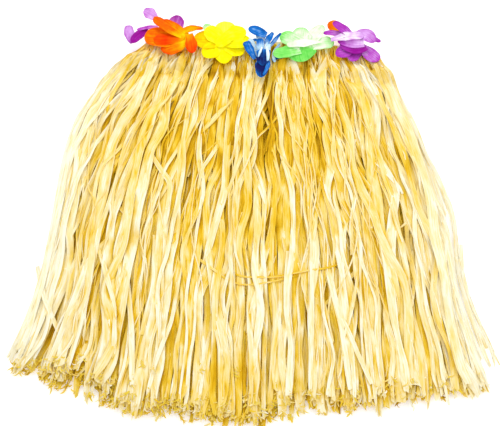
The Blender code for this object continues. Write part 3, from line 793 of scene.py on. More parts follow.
def inside_edge(across, down):
    """How far places are inside the nearer side edge of the grass."""
    to_left = across - np.interp(down, -edge_y[0], edge_x[0])
    to_right = np.interp(down, -edge_y[1], edge_x[1]) - across
    return np.minimum(to_left, to_right)


def stepped(path):
    """A drawn path with a point at every step along it."""
    path = np.array(path, dtype=float)
    run = np.concatenate([[0.0], np.cumsum(np.linalg.norm(np.diff(path, axis=0), axis=1))])
    at = np.arange(0.0, run[-1], STEP)
    line = [np.interp(at, run, path[:, k]) for k in (0, 1)]
    soft = np.ones(7) / 7
    line = [np.convolve(np.pad(part, 3, mode="edge"), soft, "valid") for part in line]
    return line[0], line[1], at[-1]


def lay_layer(row, seed):
    """Lays all the ribbons of one layer. Each comes back with its points, map, tone and cut end."""
    chance = np.random.default_rng(seed)
    count = row["ribbons"]
    pitch = 2 * row["half"] / count
    roots = -row["half"] + (np.arange(count) + 0.5) * pitch + chance.uniform(-0.6, 0.6, count) * pitch
    lengths = cut_length(roots) + row["longer"] + chance.normal(0.0, row["spread"], count)
    xs, ys = own_lines(roots, lengths, chance, 1.0, row["crossing"], row["flick"])
    front = row["node"] == "grass_front_outer"
    if front:
        xs, ys = with_heads(parted(xs, roots), ys, roots, chance)
        lengths = lengths + HEAD_RISE + np.interp(roots, SHORT_CORNER, (-7.0, 0.0))
    rooted_from = 5.0 + (HEAD_RISE if front else 0.0)
    narrow, wide = row["widths"]
    widths = narrow + (wide - narrow) * chance.random(count) ** WIDTH_SKEW
    tones = chance.normal(row["tone"], TONE_SPREAD, count)
    laid = []

    def keep(points, along, wide, tone, length, cut=row["cut"], clumped=1.0):
        # The cut-end colour: partly the ends' own deeper gold, partly painted shade, given more strongly to
        # the lower layers.
        run = 7.0 + 10.0 * cut
        fray = np.interp(points[-1, 2, 0], FRAY_ACROSS, FRAY_SHARE)
        cuts = cut * smooth((along - length + run) / run)[:, None] * fray
        across, down = points[:, :, 0], -points[:, :, 1]
        # Painted shade between the heads under the flowers, on top of the ribbons' own tone.
        near_head = 1.0 - smooth((down - 5.0) / HEAD_RUN)
        tone = tone + clumped * min(tone - row["tone"], 0.0) * HEAD_PAINTED_SHADE * near_head
        # Painted light at the side edges, less of it near the waist.
        at_glowing_side = 1.0 - smooth(inside_edge(across, down) / SIDE_RUN)
        tone = tone + SIDE_PAINTED_GLOW * at_glowing_side * smooth((down + 10.0) / 90.0)
        # Painted shade along the parting under the middle flower: its ribbons are a deeper gold.
        in_shaded_valley = np.exp(-((across - PARTING_X) / VALLEY_WIDE) ** 2)
        in_shaded_valley = in_shaded_valley * smooth(down / 20.0) * smooth((VALLEY_LONG - down) / 60.0)
        tone = tone - VALLEY_PAINTED_SHADE * in_shaded_valley + np.interp(down, TONE_STATIONS, TONE_DOWN)
        for clump, (middle_x, middle_y) in zip(CLUMPS, clump_middles):
            reach_x, reach_y = clump["reach"]
            off = ((across - middle_x) / reach_x) ** 2 + ((down + middle_y) / reach_y) ** 2
            tone = tone + clumped * clump["paler"] * np.exp(-off)
        in_gold = np.interp(across, HEM_GOLD_ACROSS, (0.0, 1.0, 1.0, 0.0))
        in_gold = in_gold * smooth((down - HEM_GOLD_FROM) / HEM_GOLD_RUN)
        tone = np.minimum(tone - HEM_GOLD * in_gold, PALEST)
        uv = ribbon_uv(along, wide, chance)
        laid.append({"points": points, "uv": uv, "tone": tone, "cut": cuts})
        if points[-1, 2, 1] < TUCK_ABOVE and chance.random() < fray:
            for strip in frayed(points, chance):
                uv = strip[:, :, :2] + chance.uniform(0.0, 4000.0, 2)
                own = float(np.mean(tone)) + chance.normal(-0.08, 0.25)
                laid.append({"points": strip, "uv": uv, "tone": own, "cut": chance.uniform(0.0, 1.1)})

    for order, i in enumerate(chance.permutation(count)):
        length = min(lengths[i], LONGEST - 4.0)
        root_z = row["root_z"] + row["head_pile"] * order / count
        relief = row["relief"] * chance.uniform(0.7, 1.25)
        curl = max(0.0, chance.normal(0.0, 2.0))
        ribbon = lay(xs[i], ys[i], length, widths[i], root_z, chance, relief, curl, rooted_from)
        keep(*ribbon, tones[i], length)
        if front and order > WOVEN_FROM and abs(roots[i]) < WOVEN_INSIDE and chance.random() < WOVEN_SHARE:
            run = chance.uniform(*WOVEN_LONG)
            first = int(chance.uniform(50.0, 350.0 - run) / STEP)
            at = slice(first, first + int(run / STEP))
            share = np.linspace(-1.0, 1.0, int(run / STEP))
            drift = chance.normal(0.0, WOVEN_DRIFT) * share + chance.normal(0.0, 4.0) * (1.0 - share ** 2)
            width = chance.uniform(*WOVEN_WIDTHS)
            stray = lay(xs[i, at] + drift, ys[i, at], run - STEP, width, None, chance)
            keep(*stray, tones[i] + WOVEN_PALER, run, 0.0)
    if front:
        fibre_roots = chance.uniform(-row["half"], row["half"], FIBRES)
        fibre_lengths = cut_length(fibre_roots) - chance.uniform(5.0, 60.0, FIBRES)
        xs, ys = own_lines(fibre_roots, fibre_lengths, chance, 1.7, 0.6, 12.0)
        xs, ys = with_heads(xs, ys, fibre_roots, chance)
        for i in range(FIBRES):
            length = fibre_lengths[i]
            width = chance.uniform(*FIBRE_WIDTHS)
            keep(*lay(xs[i], ys[i], length, width, root_z, chance, 0.5, 0.0, rooted_from), 0.7, length, 0.2)
        for long_one in LONG_ACROSS:
            height = long_one.get("height", LONG_HEIGHT)
            x, y, length = stepped([on_skirt(*place, height) for place in long_one["places"]])
            tone = long_one.get("tone", LONG_TONE)
            keep(*lay(x, y, length, long_one["width"], None, chance, 0.8), tone, length, 0.15, 0.0)
    return laid


clump_middles = [on_skirt(*clump["place"], LONG_HEIGHT) for clump in CLUMPS]
piles = [lay_layer(row, seed) for seed, row in enumerate(LAYERS, start=11)]
print("ribbons in each layer", [len(pile) for pile in piles], "loose pile", heights.max().round(1), "mm")

# %% [markdown]
# A loose pile settles under its own weight. Every height is pressed by the same rule at the same place, so
# nothing passes through anything else. Near the waist, where the headers hold the ribbons, it is not pressed.

# %% Let the pile settle
PRESS_FROM = 2.0
PRESSED = 0.36
PRESS_START = 4.0
PRESS_IN = 24.0
SUNK_SHADE_SCALES = ((4, 1.5), (1, 0.8))


def settle(x, y, z):
    """The height at a place once the pile has settled."""
    pressed = np.where(z > PRESS_FROM, PRESS_FROM + PRESSED * (z - PRESS_FROM), z)
    share = smooth((waist_line(x) - y - PRESS_START) / PRESS_IN)
    return z + (pressed - z) * share


def blurred(grid, reach):
    """A grid averaged over a square window, twice."""
    window = np.ones(2 * reach + 1) / (2 * reach + 1)

    def average(line):
        return np.convolve(np.pad(line, reach, mode="edge"), window, "valid")

    for axis in (0, 1, 0, 1):
        grid = np.apply_along_axis(average, axis, grid)
    return grid


heights = settle(map_x[:, None], map_y[None, :], heights)
# Painted shade: how far each point lies below the blurred top of the pile around it, at a coarse and a fine
# scale, weaker near the side edges.
around = [(blurred(heights, reach), full) for reach, full in SUNK_SHADE_SCALES]
for pile in piles:
    for ribbon in pile:
        points = ribbon["points"]
        points[:, :, 2] = settle(points[:, :, 0], points[:, :, 1], points[:, :, 2])
        under = cells(points[:, :, 0], points[:, :, 1])
        below = [(level[under] - points[:, :, 2]) / full for level, full in around]
        shade_inside_share = 0.15 + 0.85 * smooth(inside_edge(points[:, :, 0], -points[:, :, 1]) / SUNK_RUN)
        ribbon["sunk"] = np.clip(np.maximum(*below), 0.0, 1.0) * shade_inside_share
middle_pile = np.percentile(heights[120:270, 60:260], [5, 50, 95])
print("settled pile", heights.max().round(1), "mm, in the middle", middle_pile.round(1))

# %% [markdown]
# A layer of grass is one mesh: all its ribbons, and the narrow header that they are sewn to.

# %% Make the layers' meshes
def sheet_mesh(name, grids, uvs, values, material):
    """One mesh of many grids of points, given in millimetres from the waist, with values at the points."""
    points, faces, uv = [], [], []
    held = {key: [] for key in values}
    start_at = 0
    for k, (grid, grid_uv) in enumerate(zip(grids, uvs)):
        rows, columns = grid.shape[:2]
        index = start_at + np.arange(rows * columns).reshape(rows, columns)
        quads = np.stack([index[:-1, :-1], index[:-1, 1:], index[1:, 1:], index[1:, :-1]], axis=-1)
        points.append(grid.reshape(-1, 3))
        uv.append(grid_uv.reshape(-1, 2))
        faces.append(quads.reshape(-1, 4))
        for key, rows_of_values in values.items():
            held[key].append(np.broadcast_to(rows_of_values[k], (rows, columns)).reshape(-1))
        start_at += rows * columns
    points = (np.concatenate(points) + WAIST) * MM
    faces = np.concatenate(faces)
    mesh = bpy.data.meshes.new(name)
    mesh.from_pydata(points.tolist(), [], faces.tolist())
    layer = mesh.uv_layers.new(name="ribbon")
    layer.data.foreach_set("uv", np.concatenate(uv)[faces.reshape(-1)].reshape(-1))
    for key, parts in held.items():
        attribute = mesh.attributes.new(key, "FLOAT", "POINT")
        attribute.data.foreach_set("value", np.concatenate(parts).astype(np.float32))
    mesh.materials.append(material)
    made = bpy.data.objects.new(name, mesh)
    bpy.context.scene.collection.objects.link(made)
    return made


def header_strip(row):
    """The strip along the waist that a layer's ribbons are sewn to."""
    x = np.linspace(-row["half"] - 1.0, row["half"] + 1.0, 90)
    rows = np.linspace(-HEADER_LIP, HEADER_TOP, 5)
    points = np.stack([
        x[:, None] + np.zeros(5),
        waist_line(x)[:, None] + rows,
        row["header_z"] + 0.2 * np.sin(x[:, None] * 1.7 + rows),
    ], axis=2)
    # The header carries an even painted shade.
    return {"points": points, "uv": points[:, :, 1::-1], "tone": row["tone"], "cut": 0.0, "sunk": 0.3}


def grass_layer(row, pile):
    parts = [*pile, header_strip(row)]
    values = {key: [part[key] for part in parts] for key in ("tone", "cut", "sunk")}
    name = row["node"].replace("grass", "ribbons")
    grids, uvs = [part["points"] for part in parts], [part["uv"] for part in parts]
    made = sheet_mesh(name, grids, uvs, values, straw_ribbon)
    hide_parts(row["node"])
    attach(made, "root")
    made.data.set_sharp_from_angle(angle=math.radians(12.0))
    for polygon in made.data.polygons:
        polygon.use_smooth = True
    print(made.name, len(made.data.polygons) * 2, "triangles")
    return made


ribbons = [grass_layer(row, pile) for row, pile in zip(LAYERS, piles)]

# %% [markdown]
# The waistband is a woven elastic tape sewn into a loop and pressed flat. It is made as a sheet with two
# walls: ribs run along it, and it puckers a little because the elastic has drawn it in.

# %% Elastic finish
def elastic_finish():
    made, shader, start = new_finish("cream_elastic", 0.75, sheen=0.2, specular=0.3)
    across = start.make("ShaderNodeUVMap", {"uv_map": "ribbon"})
    split = start.make("ShaderNodeSeparateXYZ", {}, {"Vector": across}, "X")
    ribs = start.math("SINE", split * (2 * math.pi / 1.6)) * 0.5 + 0.5
    weave = start.noise(start.stretched(across, (2.5, 6.0, 1.0)), 1.0, 2.0)
    soil = start.noise(across, 0.08, 3.0)
    depth = ribs * 0.5 + weave * 0.5
    creams = ((0.0, (0.6, 0.56, 0.46)), (0.6, (0.86, 0.83, 0.74)), (1.0, (0.93, 0.91, 0.84)))
    cream = start.ramp(depth, creams)
    connect(start.mix(soil * 0.3, cream, (0.74, 0.66, 0.5)), shader, "Base Color")
    relief = start.make("ShaderNodeBump", {}, {"Strength": 0.6, "Distance": 0.0003, "Height": depth})
    connect(relief, shader, "Normal")
    return made


cream_elastic = elastic_finish()
print("finish", cream_elastic.name)

# %% Waistband
BAND_BACK_Z = 6.7
BAND_TOP_Z = 13.4
BAND_RIBS = 10


def band_line(outset, straight_steps, fold_steps):
    """The band's closed line seen from above, as x and z, outset from its middle line."""
    middle_z = (BAND_BACK_Z + BAND_TOP_Z) / 2
    radius = (BAND_TOP_Z - BAND_BACK_Z - BAND_WALL) / 2 + outset
    straight = WAIST_WIDTH / 2 - (BAND_TOP_Z - BAND_BACK_Z) / 2
    run = np.linspace(-straight, straight, straight_steps, endpoint=False)
    turn = np.pi * (np.arange(fold_steps) / fold_steps - 0.5)
    parts = [
        (run, np.full(straight_steps, middle_z - radius)),
        (straight + radius * np.cos(turn), middle_z + radius * np.sin(turn)),
        (-run, np.full(straight_steps, middle_z + radius)),
        (-straight - radius * np.cos(turn), middle_z - radius * np.sin(turn)),
    ]
    return np.concatenate([p[0] for p in parts]), np.concatenate([p[1] for p in parts])


def pick(made):
    """Makes one object the only selected one, for Blender's own tools."""
    bpy.ops.object.select_all(action="DESELECT")
    bpy.context.view_layer.objects.active = made
    made.select_set(True)


def waistband():
    """The tape: a closed ring of rows over both of its faces, its edges rounded."""
    section = []
    for i in range(BAND_RIBS + 1):
        share = i / BAND_RIBS
        bulge = 0.12 * (i % 2) if 0 < i < BAND_RIBS else -0.25
        section.append((BAND_HEIGHT * share, BAND_WALL / 2 + bulge - 0.12))
    section += [(height, -outset) for height, outset in reversed(section)]
    rings, uvs = [], []
    for height, outset in section:
        x, z = band_line(outset, 150, 8)
        along = np.arange(len(x)) * 2 * WAIST_WIDTH / len(x)
        pucker = 0.1 * np.sin(along * 2 * math.pi / 7.0) * np.sign(outset)
        y = waist_line(x) + height + 0.25 * np.sin(along * 2 * math.pi / 9.0)
        rings.append(np.stack([x, y, z + pucker], axis=1))
        uvs.append(np.stack([np.full(len(x), height + (40.0 if outset < 0 else 0.0)), along], axis=1))
    grid = np.array(rings + rings[:1])
    uv = np.array(uvs + uvs[:1])
    grid = np.concatenate([grid, grid[:, :1]], axis=1)
    uv = np.concatenate([uv, uv[:, :1] + (0.0, 2 * WAIST_WIDTH)], axis=1)
    made = sheet_mesh("elastic_waistband", [grid], [uv], {}, cream_elastic)
    pick(made)
    bpy.ops.object.mode_set(mode="EDIT")
    bpy.ops.mesh.select_all(action="SELECT")
    bpy.ops.mesh.remove_doubles(threshold=0.00001)
    bpy.ops.mesh.normals_make_consistent(inside=False)
    bpy.ops.object.mode_set(mode="OBJECT")
    bpy.ops.object.shade_smooth_by_angle(angle=math.radians(40.0))
    return made


band = waistband()
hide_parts("waistband")
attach(band, "root")
print(band.name, len(band.data.polygons), "faces")

# %% [markdown]
# The flowers are cut from thin woven cloth, dyed from nearly white at the middle to a strong colour at the
# rim, and pressed so that the petals cup, fold and overlap. The mesh says how strong the dye is at a point;
# in the fold inside the left purple flower's cup, the strongest dye is painted shade.

# %% Petal finishes
DYES = {
    "purple": ((0.92, 0.86, 0.91), (0.74, 0.42, 0.86), (0.45, 0.05, 0.51), (0.3, 0.0, 0.28)),
    "orange": ((0.96, 0.74, 0.004), (0.95, 0.5, 0.0), (0.9, 0.14, 0.0), (0.86, 0.03, 0.0)),
    "yellow": ((1.0, 1.0, 0.35), (1.0, 0.97, 0.08), (1.0, 0.94, 0.0), (0.94, 0.55, 0.0)),
    "blue": ((0.93, 0.97, 0.98), (0.55, 0.8, 0.93), (0.0, 0.16, 0.6), (0.0, 0.0, 0.1)),
    "green": ((0.96, 0.97, 0.93), (0.87, 0.96, 0.74), (0.24, 0.8, 0.14), (0.06, 0.58, 0.04)),
}
DYE_STEPS = (-0.25, 0.0, 0.5, 1.0)
DYE_RANGE = DYE_STEPS[-1] - DYE_STEPS[0]


def petal_finish(name, dye):
    made, shader, start = new_finish(f"petal_cloth_{name}", 0.8, sheen=0.0, specular=0.06)
    across = start.make("ShaderNodeUVMap", {"uv_map": "ribbon"})
    shade = start.attribute("tone")
    veins = start.noise(start.stretched(across, (1.1, 0.05, 1.0)), 1.0, 3.0)
    threads = start.noise(start.stretched(across, (7.0, 7.0, 1.0)), 1.0, 1.0)
    stain = start.noise(across, 0.16, 2.0)
    depth = shade + (veins - 0.5) * 0.8 + (stain - 0.5) * 0.6
    stops = [((step - DYE_STEPS[0]) / DYE_RANGE, colour) for step, colour in zip(DYE_STEPS, dye)]
    cloth = start.ramp((depth - DYE_STEPS[0]) * (1.0 / DYE_RANGE), stops)
    connect(start.mix(threads * 0.03, cloth, dye[1]), shader, "Base Color")
    relief = start.make(
        "ShaderNodeBump", {}, {"Strength": 0.5, "Distance": 0.0004, "Height": veins + threads * 0.3},
    )
    connect(relief, shader, "Normal")
    return made


petal_cloth = {name: petal_finish(name, dye) for name, dye in DYES.items()}
print("petal finishes", list(petal_cloth))

# %% [markdown]
# A petal follows its middle line, read off the photograph as places in its frame. At each of those places a
# table gives half the petal's width there, its height above the surface and the strength of its dye.

# %% Petals
PETAL_ROWS = 15
PETAL_COLUMNS = 9
TIP_ROUND = 1.15
CLOTH_THICK = 0.00022


def through(values, share):
    """A smooth curve through a few evenly spaced values."""
    at = np.linspace(0.0, 1.0, len(values))
    return np.polyval(np.polyfit(at, values, min(3, len(values) - 1)), share)


def petal_grid(line, half, level, dye, cup=0.1, roll=0.0, ruffle=0.5, rim=0.1, chance=None):
    """The points of one petal, its UV map and the strength of its dye. Its tip is round."""
    share = 1.0 - (1.0 - np.linspace(0.0, 1.0, PETAL_ROWS)) ** 1.7
    column = np.linspace(-1.0, 1.0, PETAL_COLUMNS)
    places = [on_skirt(*place, height) for place, height in zip(line, level)]
    x = through([place[0] for place in places], share)
    y = through([place[1] for place in places], share)
    way = np.stack([np.gradient(x), np.gradient(y)], axis=1)
    way /= np.linalg.norm(way, axis=1, keepdims=True)
    along = np.concatenate([[0.0], np.cumsum(np.hypot(np.diff(x), np.diff(y)))])
    width = np.interp(share, np.linspace(0.0, 1.0, len(half)), half)
    from_tip = np.minimum(1.0, (along[-1] - along) / (TIP_ROUND * width))
    width = width * np.maximum(0.06, np.sqrt(1.0 - (1.0 - from_tip) ** 2))
    width = width * (1.0 + 0.05 * np.sin(share * chance.uniform(9.0, 16.0) + chance.uniform(0.0, 6.0)))
    height = through(level, share)[:, None] + cup * width[:, None] * column ** 2
    height = height + roll * width[:, None] * column
    phase = chance.uniform(0.0, 2 * math.pi, 3)
    waves = chance.uniform(1.3, 2.8)
    height = height + ruffle * share[:, None] * np.abs(column) ** 1.5 * np.sin(
        2 * math.pi * waves * share[:, None] + np.where(column < 0, phase[0], phase[1])
    )
    height = height + 0.35 * ruffle * np.sin(4.0 * column + 3.0 * share[:, None] + phase[2])
    points = np.stack([
        x[:, None] - way[:, 1:] * width[:, None] * column,
        y[:, None] + way[:, :1] * width[:, None] * column,
        np.maximum(height, 0.25),
    ], axis=2)
    strength = np.interp(share, np.linspace(0.0, 1.0, len(dye)), dye)[:, None]
    strength = strength + rim * (np.abs(column) ** 4 + share[:, None] ** 8 - 0.3)
    shift = chance.uniform(0.0, 500.0, 2)
    u = column * width[:, None] + shift[0]
    v = shift[1] + along[:, None] + np.zeros_like(height)
    return points, np.stack([u, v], axis=2), strength


def petal(line, half, level, dye, **form):
    """One row of the tables: a petal's line in the frame, then its half widths, heights and dyes along it."""
    return {"line": line, "half": half, "level": level, "dye": dye, **form}


FLOWERS = (
    {"node": "flower_purple_left", "dye": "purple", "foot": (159, 40), "level": 19.0, "petals": (
        petal(((156, 19), (151, 14.5), (144, 10)), (3.0, 7.0, 6.8), (19, 20, 21), (0.1, 0.14, 0.2),
            rim=0.16),
        petal(((172, 32), (176, 24), (178, 15.5)), (5.0, 9.5, 10.5), (19, 20, 24.5), (0.3, 0.42, 0.5),
            cup=0.05),
        petal(((133, 43), (129.5, 35), (129, 25.5)), (3.0, 5.6, 5.2), (19, 18, 19), (0.5, 0.16, 0.12),
            cup=0.25, rim=0.22),
        petal(((158, 27), (148, 27.5), (137, 30)), (2.6, 3.0, 2.2), (20, 21, 22), (0.25, 0.42, 0.5),
            roll=0.5),
        # The fold inside the cup: its strongest dye is painted shade.
        petal(((149, 31), (140, 35), (132, 43)), (4.0, 5.6, 4.4), (20, 21, 21), (0.9, 1.0, 1.0), cup=0.3,
            rim=0.0),
    )},
    {"node": "flower_orange_front", "dye": "orange", "foot": (184, 37), "level": 25.0, "petals": (
        petal(((182, 33), (191, 29), (203, 28.5)), (3.0, 4.4, 1.5), (25, 27, 26), (0.05, 0.2, 0.6),
            rim=0.25, cup=0.3),
        petal(((187, 37), (176, 29.5), (163, 20.5)), (4.5, 6.5, 4.0), (25, 28, 29), (-0.25, 0.35, 0.66),
            roll=-0.2, rim=0.25),
        petal(((184, 38), (170, 28.5), (154, 17)), (2.5, 6.6, 6.4), (26, 31, 33), (-0.25, 0.5, 0.72),
            roll=0.45, cup=-0.2, rim=-0.1),
        petal(((187, 40), (168, 38), (144.5, 36)), (5.0, 12.0, 13.0), (25, 26, 24), (-0.1, 0.45, 0.42),
            cup=0.12, rim=0.1),
        petal(((186, 41), (175, 45), (161, 49)), (4.5, 9.5, 8.0), (26, 27, 25), (-0.15, 0.4, 0.62),
            cup=-0.2, rim=0.25),
        petal(((184, 37), (169, 38.5), (153.5, 38.5)), (2.5, 7.2, 7.2), (27, 29, 28), (0.05, 0.82, 0.86),
            cup=-0.25, rim=-0.15),
        petal(((189, 34), (191, 43), (192, 53)), (3.6, 6.2, 6.4), (27, 27, 25), (0.2, 0.7, 0.98), cup=0.2),
    )},
    {"node": "flower_yellow_front", "dye": "yellow", "foot": (223, 42), "level": 25.0, "petals": (
        petal(((225, 42), (209, 40), (193.5, 39)), (7.0, 11.5, 10.0), (25, 24, 23), (0.6, 0.82, 0.9)),
        petal(((222, 42), (213, 34), (205, 29)), (7.0, 10.0, 7.5), (25, 26, 26), (0.5, 0.45, 0.42),
            rim=0.0),
        petal(((223, 42), (225, 32), (225.5, 21.5)), (8.0, 12.0, 12.0), (24, 25, 25), (0.45, 0.28, 0.05),
            rim=0.12),
        petal(((223, 42), (212, 50), (203, 56)), (6.0, 10.5, 9.0), (25, 24, 24.5), (0.5, 0.64, 0.62)),
        petal(((226, 39), (236, 34), (246, 31)), (7.0, 10.5, 8.5), (25, 26, 25), (0.45, 0.47, 0.45),
            rim=0.02),
        petal(((225, 42), (238, 41), (250.5, 40)), (7.0, 9.5, 8.5), (26, 27, 24), (0.5, 0.5, 0.5),
            rim=0.04),
        petal(((225, 43), (235, 49), (243, 54)), (7.0, 9.6, 8.0), (26, 24, 24.5), (0.5, 0.52, 0.6)),
        petal(((223, 41), (223.5, 52), (224, 63.5)), (8.0, 10.0, 7.6), (27, 25, 24.5), (0.5, 0.5, 0.58),
            cup=-0.1),
        petal(((232, 36), (224, 40), (217, 46)), (4.0, 7.0, 5.0), (29, 29.5, 28), (0.48, 0.5, 0.54),
            cup=-0.1, rim=0.0),
    )},
    {"node": "flower_blue_front", "dye": "blue", "foot": (264, 54), "level": 24.0, "petals": (
        petal(((275, 62), (274, 53), (280, 44)), (1.4, 1.9, 1.0), (22, 23, 24), (0.1, -0.1, 0.2), rim=0.1),
        petal(((272, 60), (278, 57.5), (285, 56.5)), (1.0, 2.0, 1.6), (22, 22, 22), (0.5, 0.8, 0.9),
            rim=0.0),
        petal(((257, 57), (254, 48), (249.5, 38.5)), (2.2, 3.6, 2.6), (22, 25, 26), (0.05, -0.1, 0.0),
            rim=0.02),
        petal(((265, 45), (261, 38), (257, 33)), (3.0, 4.4, 4.0), (24, 26, 27), (-0.2, -0.1, 0.2), rim=0.0),
        petal(((266.5, 35.5), (259, 32), (248.5, 28)), (3.6, 5.8, 5.0), (28, 30, 31), (0.5, 0.5, 0.52),
            rim=0.08, cup=0.15),
        petal(((255, 59), (250, 50), (245.5, 41.5)), (2.2, 4.6, 4.6), (25, 28.5, 29), (0.5, 0.54, 0.56),
            cup=0.3, rim=0.15),
        petal(((267, 57), (267, 50), (269, 42)), (3.2, 3.8, 2.6), (24, 27, 28), (0.1, -0.15, 0.1),
            rim=0.05),
        petal(((265.5, 44.5), (269, 39), (273, 32.5)), (2.4, 3.6, 1.8), (26, 29, 31), (0.3, 0.5, 0.55),
            cup=0.5, rim=0.1),
        petal(((269, 47.5), (275, 40.5), (281, 33)), (1.4, 2.4, 1.0), (26, 28, 30), (0.1, 0.45, 0.68),
            cup=0.6, rim=0.2),
        petal(((262, 56), (260.5, 47), (260, 38.5)), (2.4, 4.0, 4.0), (26, 28, 29), (0.0, 0.15, 0.62),
            cup=0.4, rim=0.1),
        petal(((264, 58), (262, 67), (261.5, 77.5)), (6.0, 8.2, 3.6), (26, 25.5, 24.5), (1.0, 1.0, 0.8),
            rim=-0.3, cup=-0.1),
        petal(((269, 61), (267.5, 67), (263, 75)), (1.4, 2.4, 1.0), (27, 27, 25.5), (0.5, 0.5, 0.6),
            rim=0.1),
        petal(((263.5, 49), (263, 57), (261, 65)), (7.2, 7.4, 5.8), (32, 30, 27), (0.5, 1.0, 0.9), cup=-0.3,
            rim=-0.1, ruffle=0.9),
        petal(((266.5, 47), (268, 54), (267.5, 61)), (1.0, 2.0, 1.2), (33, 32, 29.5), (-0.25, -0.1, 0.1),
            rim=0.2),
        petal(((262, 47), (260, 52), (258, 57)), (0.8, 1.5, 0.8), (33.5, 32.5, 31), (-0.2, 0.0, 0.2),
            rim=0.2),
    )},
    {"node": "flower_green_front", "dye": "green", "foot": (303, 47), "level": 23.0, "petals": (
        petal(((306, 46), (315, 35), (323, 25.5)), (6.0, 8.0, 5.0), (23, 24, 24), (-0.1, 0.0, 0.12),
            rim=0.12),
        petal(((303, 46), (301, 38), (302, 27.5)), (8.0, 12.0, 9.0), (23, 24, 23), (-0.05, 0.06, 0.26),
            rim=0.2),
        petal(((304, 46), (320, 43.5), (334, 42)), (6.0, 7.6, 7.4), (24, 24, 23), (-0.05, 0.12, 0.34),
            rim=0.08),
        petal(((305, 47), (292, 40), (280.5, 34.5)), (7.0, 9.0, 8.0), (24, 25, 24), (0.0, 0.2, 0.46),
            rim=0.12),
        petal(((300, 49), (286, 52), (273, 54)), (6.0, 7.0, 6.0), (25, 25, 24), (0.3, 0.6, 0.5), rim=-0.05),
        petal(((303, 42.5), (301.5, 51), (304, 61.5)), (12.0, 18.0, 14.0), (25, 25, 24.5), (0.0, 0.8, 0.62),
            cup=-0.05, rim=-0.05, ruffle=1.0),
        petal(((322, 42), (304, 43), (287, 45)), (0.5, 5.0, 3.0), (27, 27.5, 27), (-0.1, -0.12, 0.05),
            rim=0.06),
    )},
    {"node": "flower_purple_right", "dye": "purple", "foot": (355, 42), "level": 25.0, "petals": (
        petal(((352, 39), (338, 34), (323.5, 33)), (4.0, 4.2, 2.0), (25, 27, 26), (-0.2, 0.3, 0.62),
            rim=0.15),
        petal(((355, 39), (345, 31), (333.5, 22)), (3.5, 5.8, 5.0), (25, 29, 31), (-0.1, 0.58, 0.66),
            roll=0.3, cup=0.3, rim=0.12),
        petal(((354, 45), (345, 51), (335.5, 53)), (5.0, 8.0, 7.6), (25, 25, 24), (0.5, 0.5, 0.56)),
        petal(((358, 46), (355, 53), (351, 61)), (6.0, 7.5, 6.4), (25, 23, 24.5), (0.8, 0.65, 0.5),
            cup=0.2),
        petal(((360, 46), (369, 53.5), (378.5, 61)), (4.5, 7.6, 7.8), (25, 23, 24.5), (0.3, 0.4, 0.45),
            rim=0.08),
        petal(((366, 40), (373, 39), (380.5, 42)), (2.8, 3.4, 2.2), (26, 26, 25), (0.2, 0.35, 0.55),
            rim=0.1),
        petal(((356, 41), (364, 35), (375, 42)), (5.0, 8.0, 6.4), (27, 30, 29), (-0.1, 0.16, 0.3), rim=0.18,
            cup=0.15),
        petal(((367, 48), (354, 51), (340, 44.5)), (2.4, 4.2, 2.2), (26, 27, 27), (0.95, 1.0, 0.7), cup=0.3,
            rim=0.0),
        petal(((364, 44), (350, 43.5), (338, 39.5)), (3.5, 5.0, 3.4), (28, 29, 28), (0.0, 0.3, 0.62),
            cup=0.2, roll=-0.3, rim=0.16),
        petal(((331, 40), (347, 36.5), (364, 36)), (2.0, 5.6, 4.0), (28, 31, 30), (0.05, -0.2, 0.0),
            cup=0.2, rim=0.1),
    )},
)
BACK_FLOWERS = (
    {"node": "flower_green_back", "dye": "green", "x": -57.0, "reach": 24.0, "turn": 90.0, "level": 0.3,
     "showing": (
        petal(((213, 38), (209, 31), (205.5, 24)), (3.0, 5.0, 4.8), (6, 7, 8), (0.0, 0.12, 0.26)),
    )},
    {"node": "flower_blue_back", "dye": "blue", "x": -11.0, "reach": 21.0, "turn": 54.0, "level": 2.0,
     "showing": ()},
    {"node": "flower_yellow_back", "dye": "yellow", "x": 34.0, "reach": 19.0, "turn": 54.0, "level": 0.3,
     "showing": ()},
    {"node": "flower_orange_back", "dye": "orange", "x": 80.0, "reach": 15.0, "turn": 54.0, "level": 2.0,
     "showing": (
        petal(((350, 38), (340, 30), (327.5, 24)), (3.0, 6.6, 8.0), (10, 14, 18), (0.1, 0.35, 0.45)),
    )},
)
BACK_PETALS = 5
BACK_HALF = 10.5
BACK_OUTLINE = (0.12, 0.62, 0.95, 1.0, 0.72, 0.15)
FOOT_RADIUS = 3.0
FOOT_FRONT_Z = 13.7
FOOT_BACK_Z = 6.3


def foot_grid(top, base, strength):
    """The gathered stalk of cloth between a flower's middle and the band, and its UV map."""
    turn = np.linspace(0.0, 2 * math.pi, 17)
    rings = []
    for share, size in ((0.0, 1.2), (0.4, 0.8), (0.85, 1.0), (1.0, 0.15)):
        gather = FOOT_RADIUS * size * (1.0 + 0.14 * np.sin(7 * turn))
        middle = np.array(base) + (np.array(top) - np.array(base)) * share
        x, y = middle[0] + gather * np.cos(turn), middle[1] + gather * np.sin(turn)
        rings.append(np.stack([x, y, np.full(len(turn), middle[2])], axis=1))
    points = np.array(rings)
    uv = np.stack([points[:, :, 0], points[:, :, 2]], axis=2)
    return points, uv, np.full(points.shape[:2], strength)


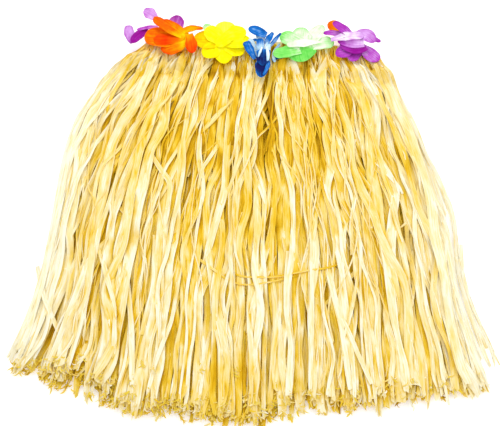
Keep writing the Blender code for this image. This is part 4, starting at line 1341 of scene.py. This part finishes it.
def back_petal(row, azimuth, chance):
    """One flat petal of a flower on the back of the band."""
    turn = math.radians(azimuth)
    share = np.linspace(0.0, 1.0, PETAL_ROWS)
    column = np.linspace(-1.0, 1.0, PETAL_COLUMNS)
    out = 1.5 + share * (row["reach"] - 1.5)
    width = BACK_HALF * np.interp(share, np.linspace(0.0, 1.0, len(BACK_OUTLINE)), BACK_OUTLINE)
    side = column * width[:, None]
    middle_y = float(waist_line(row["x"])) + BAND_HEIGHT / 2
    x = row["x"] + out[:, None] * math.cos(turn) - side * math.sin(turn)
    y = middle_y + out[:, None] * math.sin(turn) + side * math.cos(turn)
    z = row["level"] + 0.25 * np.sin(3.0 * column + 4.0 * share[:, None] + chance.uniform(0.0, 6.0))
    strength = 0.1 + 0.5 * smooth(share[:, None] * 1.2) + 0.0 * column
    uv = np.stack([side + chance.uniform(0.0, 500.0), out[:, None] + np.zeros_like(side)], axis=2)
    return np.stack([x, y, np.maximum(z, 0.25)], axis=2), uv, strength


def sew_flower(row, parts):
    """One flower as one mesh: its petals and its foot, as thin cloth with two faces."""
    name = row["node"].replace("flower", "silk")
    grids, uvs, strengths = zip(*parts)
    made = sheet_mesh(name, grids, uvs, {"tone": strengths}, petal_cloth[row["dye"]])
    wall = made.modifiers.new("cloth", "SOLIDIFY")
    wall.thickness = CLOTH_THICK
    wall.offset = 0.0
    pick(made)
    bpy.ops.object.modifier_apply(modifier="cloth")
    bpy.ops.object.shade_smooth_by_angle(angle=math.radians(50.0))
    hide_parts(row["node"])
    "petal_" + row["dye"]
    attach(made, "root")
    return made


flower_chance = np.random.default_rng(7)
for row in FLOWERS:
    parts = [petal_grid(chance=flower_chance, **petal) for petal in row["petals"]]
    base_x, base_y = on_skirt(*row["foot"], 14.0)
    base_y = min(max(base_y, float(waist_line(base_x)) + 5.0), float(waist_line(base_x)) + BAND_HEIGHT - 4.0)
    top = (*on_skirt(*row["foot"], row["level"]), row["level"])
    parts.append(foot_grid(top, (base_x, base_y, FOOT_FRONT_Z), 0.3))
    sew_flower(row, parts)
for row in BACK_FLOWERS:
    turns = [row["turn"] + 360.0 / BACK_PETALS * i for i in range(BACK_PETALS)]
    parts = [back_petal(row, turn, flower_chance) for turn in turns]
    middle_y = float(waist_line(row["x"])) + BAND_HEIGHT / 2
    parts += [petal_grid(chance=flower_chance, **petal) for petal in row["showing"]]
    parts.append(foot_grid((row["x"], middle_y, row["level"]), (row["x"], middle_y, FOOT_BACK_Z), 0.1))
    sew_flower(row, parts)
